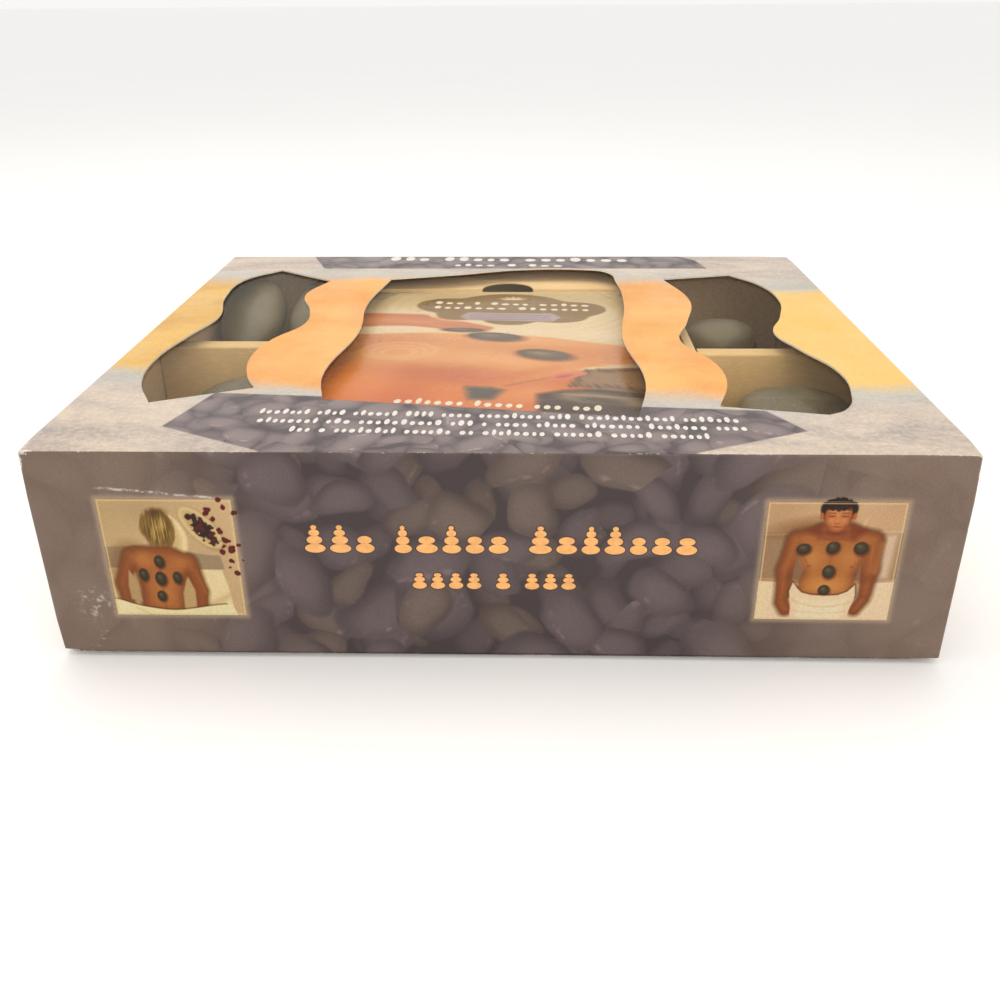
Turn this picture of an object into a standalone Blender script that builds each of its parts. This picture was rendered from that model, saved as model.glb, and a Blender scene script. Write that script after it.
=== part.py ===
"""Boxed hot stone massage kit, modelled in metres with +Z up.

The origin is the middle of the tray's underside and the front of the box faces -Y. A telescoping lid
with three film-covered windows fits over a tray. Inside, a folded card platform holds a paperback in a
well, and a card divider on each side makes two bays that hold polished basalt stones.
"""

import math
import random

import bmesh
import bpy
from mathutils import Matrix, Vector, noise

# Driving dimensions: the box is sized round what it holds -----------------------------------------
BOOK_WIDTH = 0.152
BOOK_HEIGHT = 0.193
BOOK_THICKNESS = 0.0140
COVER = 0.0004  # cover card

WELL_CLEARANCE = 0.0020  # round the book
WELL_LIP = 0.0010  # the platform stands this much above the book
SHOULDER = 0.0040  # platform on each side of the well
FRONT_MARGIN = 0.0223  # platform in front of the well
REAR_MARGIN = 0.0393  # platform behind the well
NOTCH_RADIUS = 0.0130
NOTCH_LIFT = 0.0020  # the thumb notch ends this far above the well's floor
CARD = 0.0008  # kraft card of the platform and the dividers

BAY_WIDTH = 0.0679  # from the platform to the tray's wall
LEFT_FRONT_BAY = 0.1228  # from the tray's front wall to the divider
RIGHT_FRONT_BAY = 0.1138
DIVIDER_THICKNESS = 0.0090
STACK_HEIGHT = 0.0651  # three layers of stones
STONE_HEADROOM = 0.0114  # from the stack to the film
PLATFORM_HEADROOM = 0.0056  # from the platform to the film

BOARD = 0.0008  # box board of the lid and the tray
FOLD_RADIUS = 0.0010  # outside radius of a fold in the board
TRAY_CLEARANCE = 0.0010  # lid to tray, each side
TRAY_FOOT = 0.0025  # the tray shows this much below the lid
TAB_LENGTH = 0.025  # glued corner tabs behind the front and back walls
TAB_SETBACK = 0.004  # the tabs end this short of the wall's free edge
TAB_BITE = 0.0002  # a tab is sunk this far in the board that it is glued to
FILM = 0.0003
FILM_MARGIN = 0.008  # glued border of the film outside the windows' reach
TOUCH_GAP = 0.0003  # between pieces that rest on each other

# Window outlines on the lid's top, in shares of its half width and half depth, and whether the
# outline turns a corner at the point.
LEFT_WINDOW = [
    (-0.813, -0.682, True),
    (-0.879, -0.517, False),
    (-0.902, -0.307, False),
    (-0.875, -0.082, False),
    (-0.843, 0.120, False),
    (-0.882, 0.367, False),
    (-0.872, 0.629, False),
    (-0.780, 0.768, True),
    (-0.584, 0.599, True),
    (-0.633, 0.397, False),
    (-0.587, 0.202, False),
    (-0.574, 0.037, False),
    (-0.636, -0.135, False),
    (-0.656, -0.285, False),
    (-0.630, -0.464, False),
    (-0.590, -0.566, True),
]
CENTRE_WINDOW = [
    (-0.387, 0.629, True),
    (-0.423, 0.285, False),
    (-0.407, -0.045, False),
    (-0.443, -0.449, False),
    (-0.413, -0.652, True),
    (0.315, -0.775, True),
    (0.354, -0.502, False),
    (0.328, -0.120, False),
    (0.361, 0.300, False),
    (0.357, 0.584, False),
    (0.328, 0.749, False),
    (0.256, 0.783, False),
    (0.059, 0.783, False),
    (-0.170, 0.700, False),
]
RIGHT_WINDOW = [
    (0.511, 0.629, True),
    (0.741, 0.693, True),
    (0.813, 0.554, False),
    (0.839, 0.345, False),
    (0.800, 0.120, False),
    (0.751, -0.052, False),
    (0.784, -0.210, False),
    (0.839, -0.412, False),
    (0.830, -0.584, False),
    (0.784, -0.719, False),
    (0.741, -0.753, True),
    (0.505, -0.697, True),
    (0.551, -0.502, False),
    (0.544, -0.345, False),
    (0.482, -0.135, False),
    (0.525, 0.067, False),
    (0.564, 0.322, False),
]
CURVE_STEPS = 5  # straight pieces between two points of an outline

# The stones' layers, from and to, in shares of STACK_HEIGHT. The raised stones lean on their
# neighbours and stand higher than the rest.
LAYERS = {"bottom": (0.0, 0.36), "middle": (0.36, 0.69), "top": (0.69, 1.0), "raised": (0.69, 1.12)}
STONE_GAP = 0.0005  # between one layer of stones and the next

# Each bay's stones: layer, reach across the bay from the platform, reach along it from the front,
# both in shares of the bay, then the turn and the tilt in degrees.
BAYS = {
    "left_front": [
        ("bottom", (0.07, 0.95), (0.03, 0.47), 4, 2),
        ("bottom", (0.05, 0.93), (0.51, 0.95), -6, -2),
        ("middle", (0.08, 0.86), (0.06, 0.46), 28, 3),
        ("middle", (0.12, 0.88), (0.50, 0.93), -18, -3),
        ("top", (0.03, 0.66), (0.60, 0.93), 14, 4),
    ],
    "left_rear": [
        ("bottom", (0.06, 0.94), (0.33, 0.75), -5, 2),
        ("bottom", (0.14, 0.82), (0.02, 0.31), 6, -2),
        ("bottom", (0.10, 0.70), (0.77, 0.97), 10, 3),
        ("middle", (0.04, 0.84), (0.36, 0.77), 24, -3),
        ("middle", (0.20, 0.74), (0.06, 0.33), -20, 4),
        ("raised", (0.04, 0.44), (0.44, 0.84), 78, 30),
        ("raised", (0.47, 0.95), (0.38, 0.86), 97, 28),
    ],
    "right_front": [
        ("bottom", (0.06, 0.92), (0.03, 0.48), -4, -2),
        ("bottom", (0.08, 0.94), (0.51, 0.97), 5, 2),
        ("middle", (0.07, 0.85), (0.04, 0.46), -24, 3),
        ("middle", (0.10, 0.88), (0.50, 0.92), 16, -2),
        ("top", (0.18, 0.86), (0.60, 0.95), -8, -3),
    ],
    "right_rear": [
        ("bottom", (0.06, 0.93), (0.30, 0.68), 5, 2),
        ("bottom", (0.14, 0.82), (0.02, 0.28), -7, -2),
        ("bottom", (0.10, 0.78), (0.71, 0.98), 8, 3),
        ("middle", (0.05, 0.80), (0.32, 0.67), -20, 3),
        ("middle", (0.30, 0.78), (0.71, 0.92), 30, -4),
        ("top", (0.03, 0.60), (0.33, 0.62), 22, -5),
    ],
}

# Sizes worked out from those above ---------------------------------------------------------------
WELL_WIDTH = BOOK_WIDTH + 2 * WELL_CLEARANCE
WELL_DEPTH = BOOK_HEIGHT + 2 * WELL_CLEARANCE
PLATFORM_WIDTH = WELL_WIDTH + 2 * SHOULDER
INSIDE_WIDTH = PLATFORM_WIDTH + 2 * BAY_WIDTH
INSIDE_DEPTH = FRONT_MARGIN + WELL_DEPTH + REAR_MARGIN  # between the tabs
TRAY_WIDTH = INSIDE_WIDTH + 2 * BOARD
TRAY_DEPTH = INSIDE_DEPTH + 4 * BOARD
LID_WIDTH = TRAY_WIDTH + 2 * (TRAY_CLEARANCE + BOARD)
LID_DEPTH = TRAY_DEPTH + 2 * (TRAY_CLEARANCE + 2 * BOARD)

FLOOR_Z = BOARD + TOUCH_GAP
FILM_LOW_Z = FLOOR_Z + STACK_HEIGHT + STONE_HEADROOM
LID_CEILING_Z = FILM_LOW_Z + FILM + TOUCH_GAP
LID_TOP_Z = LID_CEILING_Z + BOARD
TRAY_HEIGHT = LID_CEILING_Z - TOUCH_GAP
PLATFORM_TOP_Z = FILM_LOW_Z - PLATFORM_HEADROOM
BOOK_TOP_Z = PLATFORM_TOP_Z - WELL_LIP
BOOK_BOTTOM_Z = BOOK_TOP_Z - BOOK_THICKNESS
WELL_FLOOR_Z = BOOK_BOTTOM_Z - TOUCH_GAP
BOOK_CENTRE_Y = -INSIDE_DEPTH / 2 + FRONT_MARGIN + WELL_DEPTH / 2
CUTTER_REACH = 0.010  # a cutter goes this far past the wall that it cuts


# Scene, materials and shapes ---------------------------------------------------------------------
def empty_scene():
    for obj in list(bpy.data.objects):
        bpy.data.objects.remove(obj)
    collections = []
    for name in ("hot_stone_massage_kit", "cutters"):
        made = bpy.data.collections.new(name)
        bpy.context.scene.collection.children.link(made)
        collections.append(made)
    return collections


def new_material(name, colour, roughness, alpha=1.0):
    material = bpy.data.materials.new(name)
    material.use_nodes = True
    shader = material.node_tree.nodes["Principled BSDF"]
    shader.inputs["Base Color"].default_value = (*colour, 1.0)
    shader.inputs["Roughness"].default_value = roughness
    shader.inputs["Metallic"].default_value = 0.0
    shader.inputs["Alpha"].default_value = alpha
    return material


def box_bmesh(low, high):
    """A closed box between two corners, as a bmesh."""
    low, high = Vector(low), Vector(high)
    bm = bmesh.new()
    bmesh.ops.create_cube(bm, size=1.0)
    bmesh.ops.transform(bm, matrix=Matrix.Diagonal((*(high - low), 1.0)), verts=bm.verts)
    bmesh.ops.translate(bm, vec=(low + high) / 2, verts=bm.verts)
    return bm


def add_object(name, bm, collection, material=None):
    mesh = bpy.data.meshes.new(name)
    bm.to_mesh(mesh)
    bm.free()
    obj = bpy.data.objects.new(name, mesh)
    collection.objects.link(obj)
    if material:
        mesh.materials.append(material)
    return obj


def folded_sheet(name, low, high, open_sides, thickness, material):
    """A box folded from sheet, without the walls whose outward normals are in open_sides."""
    bm = box_bmesh(low, high)
    gone = [f for f in bm.faces if any(f.normal.dot(Vector(side)) > 0.9 for side in open_sides)]
    bmesh.ops.delete(bm, geom=gone, context="FACES")
    obj = add_object(name, bm, PARTS, material)
    folds = obj.modifiers.new("folds", "BEVEL")
    folds.width = max(FOLD_RADIUS, 1.25 * thickness)
    folds.segments = 2
    sheet = obj.modifiers.new("sheet", "SOLIDIFY")
    sheet.thickness = thickness
    sheet.offset = -1.0
    sheet.use_even_offset = True
    return obj


def as_cutter(obj):
    obj.hide_render = True
    obj.display_type = "WIRE"
    return obj


def box_cutter(name, low, high):
    return as_cutter(add_object(name, box_bmesh(low, high), CUTTERS))


def boolean(obj, other, operation):
    step = obj.modifiers.new(operation.lower(), "BOOLEAN")
    step.operation = operation
    step.object = other


def outline_cutter(name, outline, low_z, high_z):
    """A cutter through the lid's top: its plan is smooth at most points, with corners where marked."""
    curve = bpy.data.curves.new(name, "CURVE")
    curve.dimensions = "2D"
    curve.fill_mode = "BOTH"
    curve.extrude = (high_z - low_z) / 2
    curve.resolution_u = CURVE_STEPS
    spline = curve.splines.new("BEZIER")
    spline.bezier_points.add(len(outline) - 1)
    spline.use_cyclic_u = True
    for point, (x, y, corner) in zip(spline.bezier_points, outline):
        point.co = (x * LID_WIDTH / 2, y * LID_DEPTH / 2, 0.0)
        point.handle_left_type = point.handle_right_type = "VECTOR" if corner else "AUTO"
    obj = bpy.data.objects.new(name + "_curve", curve)
    obj.location.z = (low_z + high_z) / 2
    CUTTERS.objects.link(obj)
    bpy.context.view_layer.update()
    evaluated = obj.evaluated_get(bpy.context.evaluated_depsgraph_get())
    mesh = bpy.data.meshes.new_from_object(evaluated)
    bm = bmesh.new()
    bm.from_mesh(mesh)
    bmesh.ops.remove_doubles(bm, verts=bm.verts, dist=0.00001)
    bmesh.ops.recalc_face_normals(bm, faces=bm.faces)
    cutter = add_object(name, bm, CUTTERS)
    cutter.matrix_world = obj.matrix_world
    bpy.data.objects.remove(obj)
    bpy.data.meshes.remove(mesh)
    return as_cutter(cutter)


# The box: lid, film and tray ---------------------------------------------------------------------
def corner_tabs(name, width, depth, low_z, high_z):
    """The four tabs glued inside the front and back walls of a box of that outside width and depth."""
    bm = bmesh.new()
    for side in (-1, 1):
        for end in (-1, 1):
            x = sorted((side * (width / 2 - BOARD + TAB_BITE), side * (width / 2 - TAB_LENGTH)))
            y = sorted((end * (depth / 2 - BOARD + TAB_BITE), end * (depth / 2 - 2 * BOARD)))
            tab = box_bmesh((x[0], y[0], low_z), (x[1], y[1], high_z))
            mesh = bpy.data.meshes.new("tab")
            tab.to_mesh(mesh)
            tab.free()
            bm.from_mesh(mesh)
            bpy.data.meshes.remove(mesh)
    return as_cutter(add_object(name, bm, CUTTERS))


def build_lid():
    half = Vector((LID_WIDTH / 2, LID_DEPTH / 2))
    lid = folded_sheet(
        "lid",
        (-half.x, -half.y, TRAY_FOOT),
        (half.x, half.y, LID_TOP_Z),
        [(0, 0, -1)],
        BOARD,
        new_material("printed_board", (0.30, 0.26, 0.28), 0.35),
    )
    tabs = corner_tabs(
        "lid_tabs", LID_WIDTH, LID_DEPTH, TRAY_FOOT + TAB_SETBACK, LID_CEILING_Z + TAB_BITE
    )
    boolean(lid, tabs, "UNION")
    for name, outline in (
        ("left_window_cutter", LEFT_WINDOW),
        ("centre_window_cutter", CENTRE_WINDOW),
        ("right_window_cutter", RIGHT_WINDOW),
    ):
        low_z, high_z = LID_CEILING_Z - CUTTER_REACH, LID_TOP_Z + CUTTER_REACH
        boolean(lid, outline_cutter(name, outline, low_z, high_z), "DIFFERENCE")


def build_film():
    outlines = LEFT_WINDOW + CENTRE_WINDOW + RIGHT_WINDOW
    x = [point[0] * LID_WIDTH / 2 for point in outlines]
    y = [point[1] * LID_DEPTH / 2 for point in outlines]
    add_object(
        "window_film",
        box_bmesh(
            (min(x) - FILM_MARGIN, min(y) - FILM_MARGIN, FILM_LOW_Z),
            (max(x) + FILM_MARGIN, max(y) + FILM_MARGIN, FILM_LOW_Z + FILM),
        ),
        PARTS,
        new_material("clear_film", (0.90, 0.92, 0.92), 0.05, alpha=0.2),
    )


def build_tray():
    half = Vector((TRAY_WIDTH / 2, TRAY_DEPTH / 2))
    tray = folded_sheet(
        "base_tray",
        (-half.x, -half.y, 0.0),
        (half.x, half.y, TRAY_HEIGHT),
        [(0, 0, 1)],
        BOARD,
        new_material("tray_board", (0.20, 0.17, 0.19), 0.45),
    )
    tabs = corner_tabs(
        "tray_tabs", TRAY_WIDTH, TRAY_DEPTH, BOARD - TAB_BITE, TRAY_HEIGHT - TAB_SETBACK
    )
    boolean(tray, tabs, "UNION")


# The card insert: platform with its book well, and two dividers ----------------------------------
def build_platform(card):
    half = Vector((PLATFORM_WIDTH / 2, INSIDE_DEPTH / 2 - TOUCH_GAP))
    platform = folded_sheet(
        "insert_platform",
        (-half.x, -half.y, FLOOR_Z),
        (half.x, half.y, PLATFORM_TOP_Z),
        [(0, 0, -1)],
        CARD,
        card,
    )
    well = Vector((WELL_WIDTH / 2, WELL_DEPTH / 2))
    front, back = BOOK_CENTRE_Y - well.y, BOOK_CENTRE_Y + well.y
    tub = box_cutter(
        "well_tub",
        (-well.x - CARD, front - CARD, WELL_FLOOR_Z - CARD),
        (well.x + CARD, back + CARD, PLATFORM_TOP_Z - CARD / 2),
    )
    cavity = box_cutter(
        "well_cavity", (-well.x, front, WELL_FLOOR_Z), (well.x, back, PLATFORM_TOP_Z + CUTTER_REACH)
    )
    boolean(platform, tub, "UNION")
    boolean(platform, cavity, "DIFFERENCE")

    bm = bmesh.new()
    low_z, high_z = WELL_FLOOR_Z + NOTCH_LIFT, PLATFORM_TOP_Z + CUTTER_REACH
    bmesh.ops.create_cone(
        bm,
        cap_ends=True,
        segments=32,
        radius1=NOTCH_RADIUS,
        radius2=NOTCH_RADIUS,
        depth=high_z - low_z,
        matrix=Matrix.Translation((0.0, back, (low_z + high_z) / 2)),
    )
    notch = as_cutter(add_object("thumb_notch_cutter", bm, CUTTERS))
    boolean(platform, notch, "DIFFERENCE")


def build_dividers(card):
    for name, side, front_bay in (
        ("left_divider", -1, LEFT_FRONT_BAY),
        ("right_divider", 1, RIGHT_FRONT_BAY),
    ):
        x = sorted(
            (side * (PLATFORM_WIDTH / 2 + TOUCH_GAP), side * (INSIDE_WIDTH / 2 - TOUCH_GAP))
        )
        y = front_bay - INSIDE_DEPTH / 2
        folded_sheet(
            name,
            (x[0], y, FLOOR_Z),
            (x[1], y + DIVIDER_THICKNESS, PLATFORM_TOP_Z),
            [(0, 0, -1), (-1, 0, 0), (1, 0, 0)],
            CARD,
            card,
        )


# The paperback: front cover, page block, and back cover with the spine ---------------------------
def build_book():
    cover_card = new_material("book_cover_card", (0.75, 0.45, 0.28), 0.3)
    left, right = -BOOK_WIDTH / 2, BOOK_WIDTH / 2
    front, back = BOOK_CENTRE_Y - BOOK_HEIGHT / 2, BOOK_CENTRE_Y + BOOK_HEIGHT / 2
    inside_left = left + COVER + TOUCH_GAP
    pages_bottom = BOOK_BOTTOM_Z + COVER + TOUCH_GAP
    pages_top = BOOK_TOP_Z - COVER - TOUCH_GAP

    folded_sheet(
        "book_back_cover_and_spine",
        (left, front, BOOK_BOTTOM_Z),
        (right, back, pages_top),
        [(0, 0, 1), (1, 0, 0), (0, 1, 0), (0, -1, 0)],
        COVER,
        cover_card,
    )
    add_object(
        "book_pages",
        box_bmesh((inside_left, front, pages_bottom), (right, back, pages_top)),
        PARTS,
        new_material("book_paper", (0.90, 0.87, 0.80), 0.8),
    )
    hinge = Vector((left, BOOK_CENTRE_Y, BOOK_TOP_Z - COVER / 2))
    cover = add_object(
        "book_front_cover",
        box_bmesh(
            (0.0, -BOOK_HEIGHT / 2, -COVER / 2), (BOOK_WIDTH, BOOK_HEIGHT / 2, COVER / 2)
        ),
        PARTS,
        cover_card,
    )
    cover.location = hinge


# The basalt stones -------------------------------------------------------------------------------
def bay_span(bay):
    """Where a bay starts and ends along Y, between the tray's wall and its divider."""
    side, end = bay.split("_")
    divider = (LEFT_FRONT_BAY if side == "left" else RIGHT_FRONT_BAY) - INSIDE_DEPTH / 2
    if end == "front":
        return -INSIDE_DEPTH / 2, divider
    return divider + DIVIDER_THICKNESS, INSIDE_DEPTH / 2


def stone_box(bay, layer, across, along):
    """The lowest and highest corners of the space that one stone fills."""
    start, end = bay_span(bay)
    side = -1 if bay.startswith("left") else 1
    x = sorted(side * (PLATFORM_WIDTH / 2 + share * BAY_WIDTH) for share in across)
    y = [start + share * (end - start) for share in along]
    z = [FLOOR_Z + share * STACK_HEIGHT for share in LAYERS[layer]]
    return Vector((x[0], y[0], z[0])), Vector((x[1], y[1], z[1] - STONE_GAP))


def pebble_bmesh(turn, tilt, size, chance):
    """A river pebble of a given overall size: an egg outline, a flat section, a little uneven."""
    bm = bmesh.new()
    bmesh.ops.create_icosphere(bm, subdivisions=3, radius=1.0)
    egg = chance.uniform(-0.12, 0.12)
    flatness = chance.uniform(0.72, 0.85)
    place = Vector([chance.uniform(0.0, 50.0) for _ in range(3)])
    for vert in bm.verts:
        x, y, z = vert.co
        uneven = 1.0 + 0.05 * noise.noise(vert.co * 1.3 + place)
        vert.co = (
            x * (1.0 + egg * y) * uneven,
            0.84 * y * uneven,
            0.40 * math.copysign(abs(z) ** flatness, z) * uneven,
        )
    pose = Matrix.Rotation(math.radians(tilt), 4, "X") @ Matrix.Rotation(
        math.radians(turn), 4, "Z"
    )
    bmesh.ops.transform(bm, matrix=pose, verts=bm.verts)
    low = [min(v.co[axis] for v in bm.verts) for axis in range(3)]
    high = [max(v.co[axis] for v in bm.verts) for axis in range(3)]
    for vert in bm.verts:
        vert.co = [
            size[axis] * ((vert.co[axis] - low[axis]) / (high[axis] - low[axis]) - 0.5)
            for axis in range(3)
        ]
    return bm


def build_stones():
    chance = random.Random(7)
    basalt = new_material("basalt", (0.10, 0.11, 0.10), 0.4)
    for bay, stones in BAYS.items():
        for number, (layer, across, along, turn, tilt) in enumerate(stones, start=1):
            low, high = stone_box(bay, layer, across, along)
            bm = pebble_bmesh(turn, tilt, high - low, chance)
            stone = add_object(f"{bay}_stone_{number}", bm, PARTS, basalt)
            stone.data.shade_smooth()
            stone.location = (low + high) / 2


PARTS, CUTTERS = empty_scene()
build_lid()
build_film()
build_tray()
kraft = new_material("kraft_card", (0.62, 0.50, 0.33), 0.75)
build_platform(kraft)
build_dividers(kraft)
build_book()
build_stones()
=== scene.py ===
"""Looks of a boxed hot stone massage kit: a printed box with film windows, a book and basalt stones."""

import math

import bmesh
import bpy
import numpy as np
from mathutils import Matrix, Vector


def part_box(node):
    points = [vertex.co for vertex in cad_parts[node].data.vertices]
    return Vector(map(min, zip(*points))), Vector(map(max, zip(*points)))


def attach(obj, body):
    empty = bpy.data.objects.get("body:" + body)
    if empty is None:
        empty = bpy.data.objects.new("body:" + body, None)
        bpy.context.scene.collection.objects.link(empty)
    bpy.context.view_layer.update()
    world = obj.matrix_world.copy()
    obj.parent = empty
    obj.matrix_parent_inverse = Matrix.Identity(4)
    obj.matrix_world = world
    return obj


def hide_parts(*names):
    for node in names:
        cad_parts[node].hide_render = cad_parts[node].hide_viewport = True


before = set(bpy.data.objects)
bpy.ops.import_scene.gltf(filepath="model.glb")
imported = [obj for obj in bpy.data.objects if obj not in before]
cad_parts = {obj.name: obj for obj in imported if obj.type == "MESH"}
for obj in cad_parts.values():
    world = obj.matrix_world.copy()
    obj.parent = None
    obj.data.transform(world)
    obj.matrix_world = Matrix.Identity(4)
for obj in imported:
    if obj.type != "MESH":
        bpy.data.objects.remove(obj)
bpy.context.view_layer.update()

# ---- Studio -------------------------------------------------------------------------------------
# A pale sweep of floor, one big soft light above, a weaker one by the camera and a bright surround.
# The camera stands a little above the box, 0.29 m in front of it.
CAMERA_AT = (0.0097, -0.4212, 0.2065)
CAMERA_TURN = (63.4, -0.40, 1.62)
CAMERA_LENS = 36.15
FLOOR_SIZE = 60.0

camera_data = bpy.data.cameras.new("camera")
camera_data.lens = CAMERA_LENS
camera_data.sensor_width = 36.0
camera_data.clip_start = 0.01
camera = bpy.data.objects.new("camera", camera_data)
bpy.context.scene.collection.objects.link(camera)
pitch, roll, heading = (math.radians(angle) for angle in CAMERA_TURN)
facing = Matrix.Rotation(heading, 4, "Z") @ Matrix.Rotation(pitch, 4, "X")
camera.matrix_world = Matrix.Translation(CAMERA_AT) @ facing @ Matrix.Rotation(roll, 4, "Z")
bpy.context.scene.camera = camera


def soft_light(name, place, aim, size, power, colour):
    """A square area light at place, facing aim."""
    data = bpy.data.lights.new(name, "AREA")
    data.shape = "SQUARE"
    data.size = size
    data.energy = power
    data.color = colour
    lamp = bpy.data.objects.new(name, data)
    lamp.location = place
    lamp.rotation_euler = (Vector(aim) - Vector(place)).to_track_quat("-Z", "Y").to_euler()
    bpy.context.scene.collection.objects.link(lamp)


soft_light("ceiling_light", (-0.25, 0.15, 1.15), (0.0, 0.0, 0.05), 1.1, 5.4, (1.0, 0.94, 0.84))
soft_light("front_light", (0.35, -1.2, 0.75), (0.0, -0.1, 0.05), 0.9, 5.0, (1.0, 0.93, 0.84))

world = bpy.data.worlds.new("studio")
bpy.context.scene.world = world
world.use_nodes = True
world.node_tree.nodes["Background"].inputs["Color"].default_value = (1.0, 0.985, 0.97, 1.0)
world.node_tree.nodes["Background"].inputs["Strength"].default_value = 0.95
bpy.context.scene.view_settings.view_transform = "Standard"


def add(tree, kind, inputs=None, **settings):
    """One shader node: settings are its properties, and inputs are values or sockets to link."""
    node = tree.nodes.new("ShaderNode" + kind)
    for key, value in settings.items():
        setattr(node, key, value)
    for key, value in (inputs or {}).items():
        if isinstance(value, bpy.types.NodeSocket):
            tree.links.new(value, node.inputs[key])
        else:
            node.inputs[key].default_value = value
    return node


def calc(tree, operation, *values):
    """The result of one Math node."""
    return add(tree, "Math", dict(enumerate(values)), operation=operation).outputs[0]


def vectors(tree, operation, *values):
    """The result of one Vector Math node: a number for a dot product or a length."""
    node = add(tree, "VectorMath", dict(enumerate(values)), operation=operation)
    return node.outputs["Value" if operation in ("DOT_PRODUCT", "LENGTH") else "Vector"]


def ramp(tree, value, low, high, to_low=0.0, to_high=1.0):
    """A soft step: to_low where value is under low, to_high where it is over high."""
    inputs = {"Value": value, "From Min": low, "From Max": high, "To Min": to_low, "To Max": to_high}
    return add(tree, "MapRange", inputs, interpolation_type="SMOOTHSTEP").outputs[0]


def blend_colours(tree, factor, first, second, mode="MIX"):
    """Two colours mixed by a factor."""
    node = add(tree, "Mix", data_type="RGBA", blend_type=mode)
    for socket, value in ((node.inputs[0], factor), (node.inputs[6], first), (node.inputs[7], second)):
        if isinstance(value, bpy.types.NodeSocket):
            tree.links.new(value, socket)
        else:
            socket.default_value = (*value, 1.0) if isinstance(value, tuple) else value
    return node.outputs[2]


def noise(tree, where, scale, detail=3.0, roughness=0.5, distortion=0.0):
    """Soft noise from 0 to 1 at a place."""
    inputs = {"Vector": where, "Scale": scale, "Detail": detail, "Roughness": roughness}
    inputs["Distortion"] = distortion
    return add(tree, "TexNoise", inputs).outputs["Fac"]


def stretch(tree, where, scale=(1.0, 1.0, 1.0), turn=(0.0, 0.0, 0.0), shift=(0.0, 0.0, 0.0)):
    """A place moved, turned and scaled by a Mapping node."""
    inputs = {"Vector": where, "Scale": scale, "Rotation": turn, "Location": shift}
    return add(tree, "Mapping", inputs).outputs[0]


def finish(name, colour=(0.8, 0.8, 0.8), roughness=0.5, **fixed):
    """A material with a Principled shader: its tree, its shader and the place on the object."""
    material = bpy.data.materials.new(name)
    material.use_nodes = True
    tree = material.node_tree
    shader = tree.nodes["Principled BSDF"]
    shader.inputs["Base Color"].default_value = (*colour, 1.0)
    shader.inputs["Roughness"].default_value = roughness
    for key, value in fixed.items():
        shader.inputs[key.replace("_", " ")].default_value = value
    return material, tree, shader, add(tree, "TexCoord").outputs["Object"]


def emboss(tree, shader, height, strength, distance):
    """Feeds a height to the shader's normal through a Bump node."""
    inputs = {"Height": height, "Strength": strength, "Distance": distance}
    tree.links.new(add(tree, "Bump", inputs).outputs[0], shader.inputs["Normal"])


bpy.ops.mesh.primitive_plane_add(size=FLOOR_SIZE, location=(0.0, 0.0, 0.0))
floor = bpy.context.object
floor.name = "floor"
material, tree, shader, place = finish("pale_floor", roughness=0.6)
tint = blend_colours(tree, noise(tree, place, 3.0), (0.925, 0.92, 0.915), (0.95, 0.945, 0.94))
tree.links.new(tint, shader.inputs["Base Color"])
floor.data.materials.append(material)

# ---- Tray ---------------------------------------------------------------------------------------
# The bottom half of the box: white-lined board, folded up on four sides, glued by tabs at the
# corners and printed outside with the same pebbles as the lid. Inside it shows the board's tan lining.
TRAY_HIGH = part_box("base_tray")[1]
INK_DEPTH = 0.00038  # the outer part of the board's thickness that shows print
NEAR_FACE = 0.0006  # closer than this to a wall's outer face, a place is laid out in that wall


def node_group(name, inputs, outputs):
    """An empty shader group with float inputs, or vectors where the default is a tuple."""
    group = bpy.data.node_groups.new(name, "ShaderNodeTree")
    for socket, default in inputs.items():
        kind = "NodeSocketVector" if isinstance(default, tuple) else "NodeSocketFloat"
        group.interface.new_socket(socket, in_out="INPUT", socket_type=kind).default_value = default
    for socket, kind in outputs.items():
        group.interface.new_socket(socket, in_out="OUTPUT", socket_type="NodeSocket" + kind)
    return group, group.nodes.new("NodeGroupInput").outputs, group.nodes.new("NodeGroupOutput").inputs


def use_group(tree, group, **inputs):
    """The outputs of a group placed in a material, with its own values."""
    node = add(tree, "Group", node_tree=group)
    for key, value in inputs.items():
        socket = node.inputs[key.replace("_", " ")]
        if isinstance(value, bpy.types.NodeSocket):
            tree.links.new(value, socket)
        else:
            socket.default_value = value
    return node.outputs


# White fibres that show where a fold of printed board is rubbed, most of all at its corners, and a thin
# pale line along every fold that is a painted highlight.
fold_wear_and_highlight, given, result = node_group(
    "Fold wear and edge highlight",
    {"Place": (0.0, 0.0, 0.0), "Half width": 0.15, "Half depth": 0.13, "Level": 0.08, "Reach": 0.0007},
    {"Mask": "Float"},
)
axes = add(fold_wear_and_highlight, "SeparateXYZ", {0: given["Place"]}).outputs
to_side = calc(fold_wear_and_highlight, "SUBTRACT", given["Half width"], calc(fold_wear_and_highlight, "ABSOLUTE", axes[0]))
to_end = calc(fold_wear_and_highlight, "SUBTRACT", given["Half depth"], calc(fold_wear_and_highlight, "ABSOLUTE", axes[1]))
to_level = calc(fold_wear_and_highlight, "ABSOLUTE", calc(fold_wear_and_highlight, "SUBTRACT", given["Level"], axes[2]))
nearest = calc(fold_wear_and_highlight, "MINIMUM", to_side, calc(fold_wear_and_highlight, "MINIMUM", to_end, to_level))
furthest = calc(fold_wear_and_highlight, "MAXIMUM", to_side, calc(fold_wear_and_highlight, "MAXIMUM", to_end, to_level))
total = calc(fold_wear_and_highlight, "ADD", to_side, calc(fold_wear_and_highlight, "ADD", to_end, to_level))
to_fold = calc(fold_wear_and_highlight, "SUBTRACT", calc(fold_wear_and_highlight, "SUBTRACT", total, furthest), nearest)
at_corner = ramp(fold_wear_and_highlight, furthest, 0.0, 0.012, 4.5, 1.0)
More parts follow.
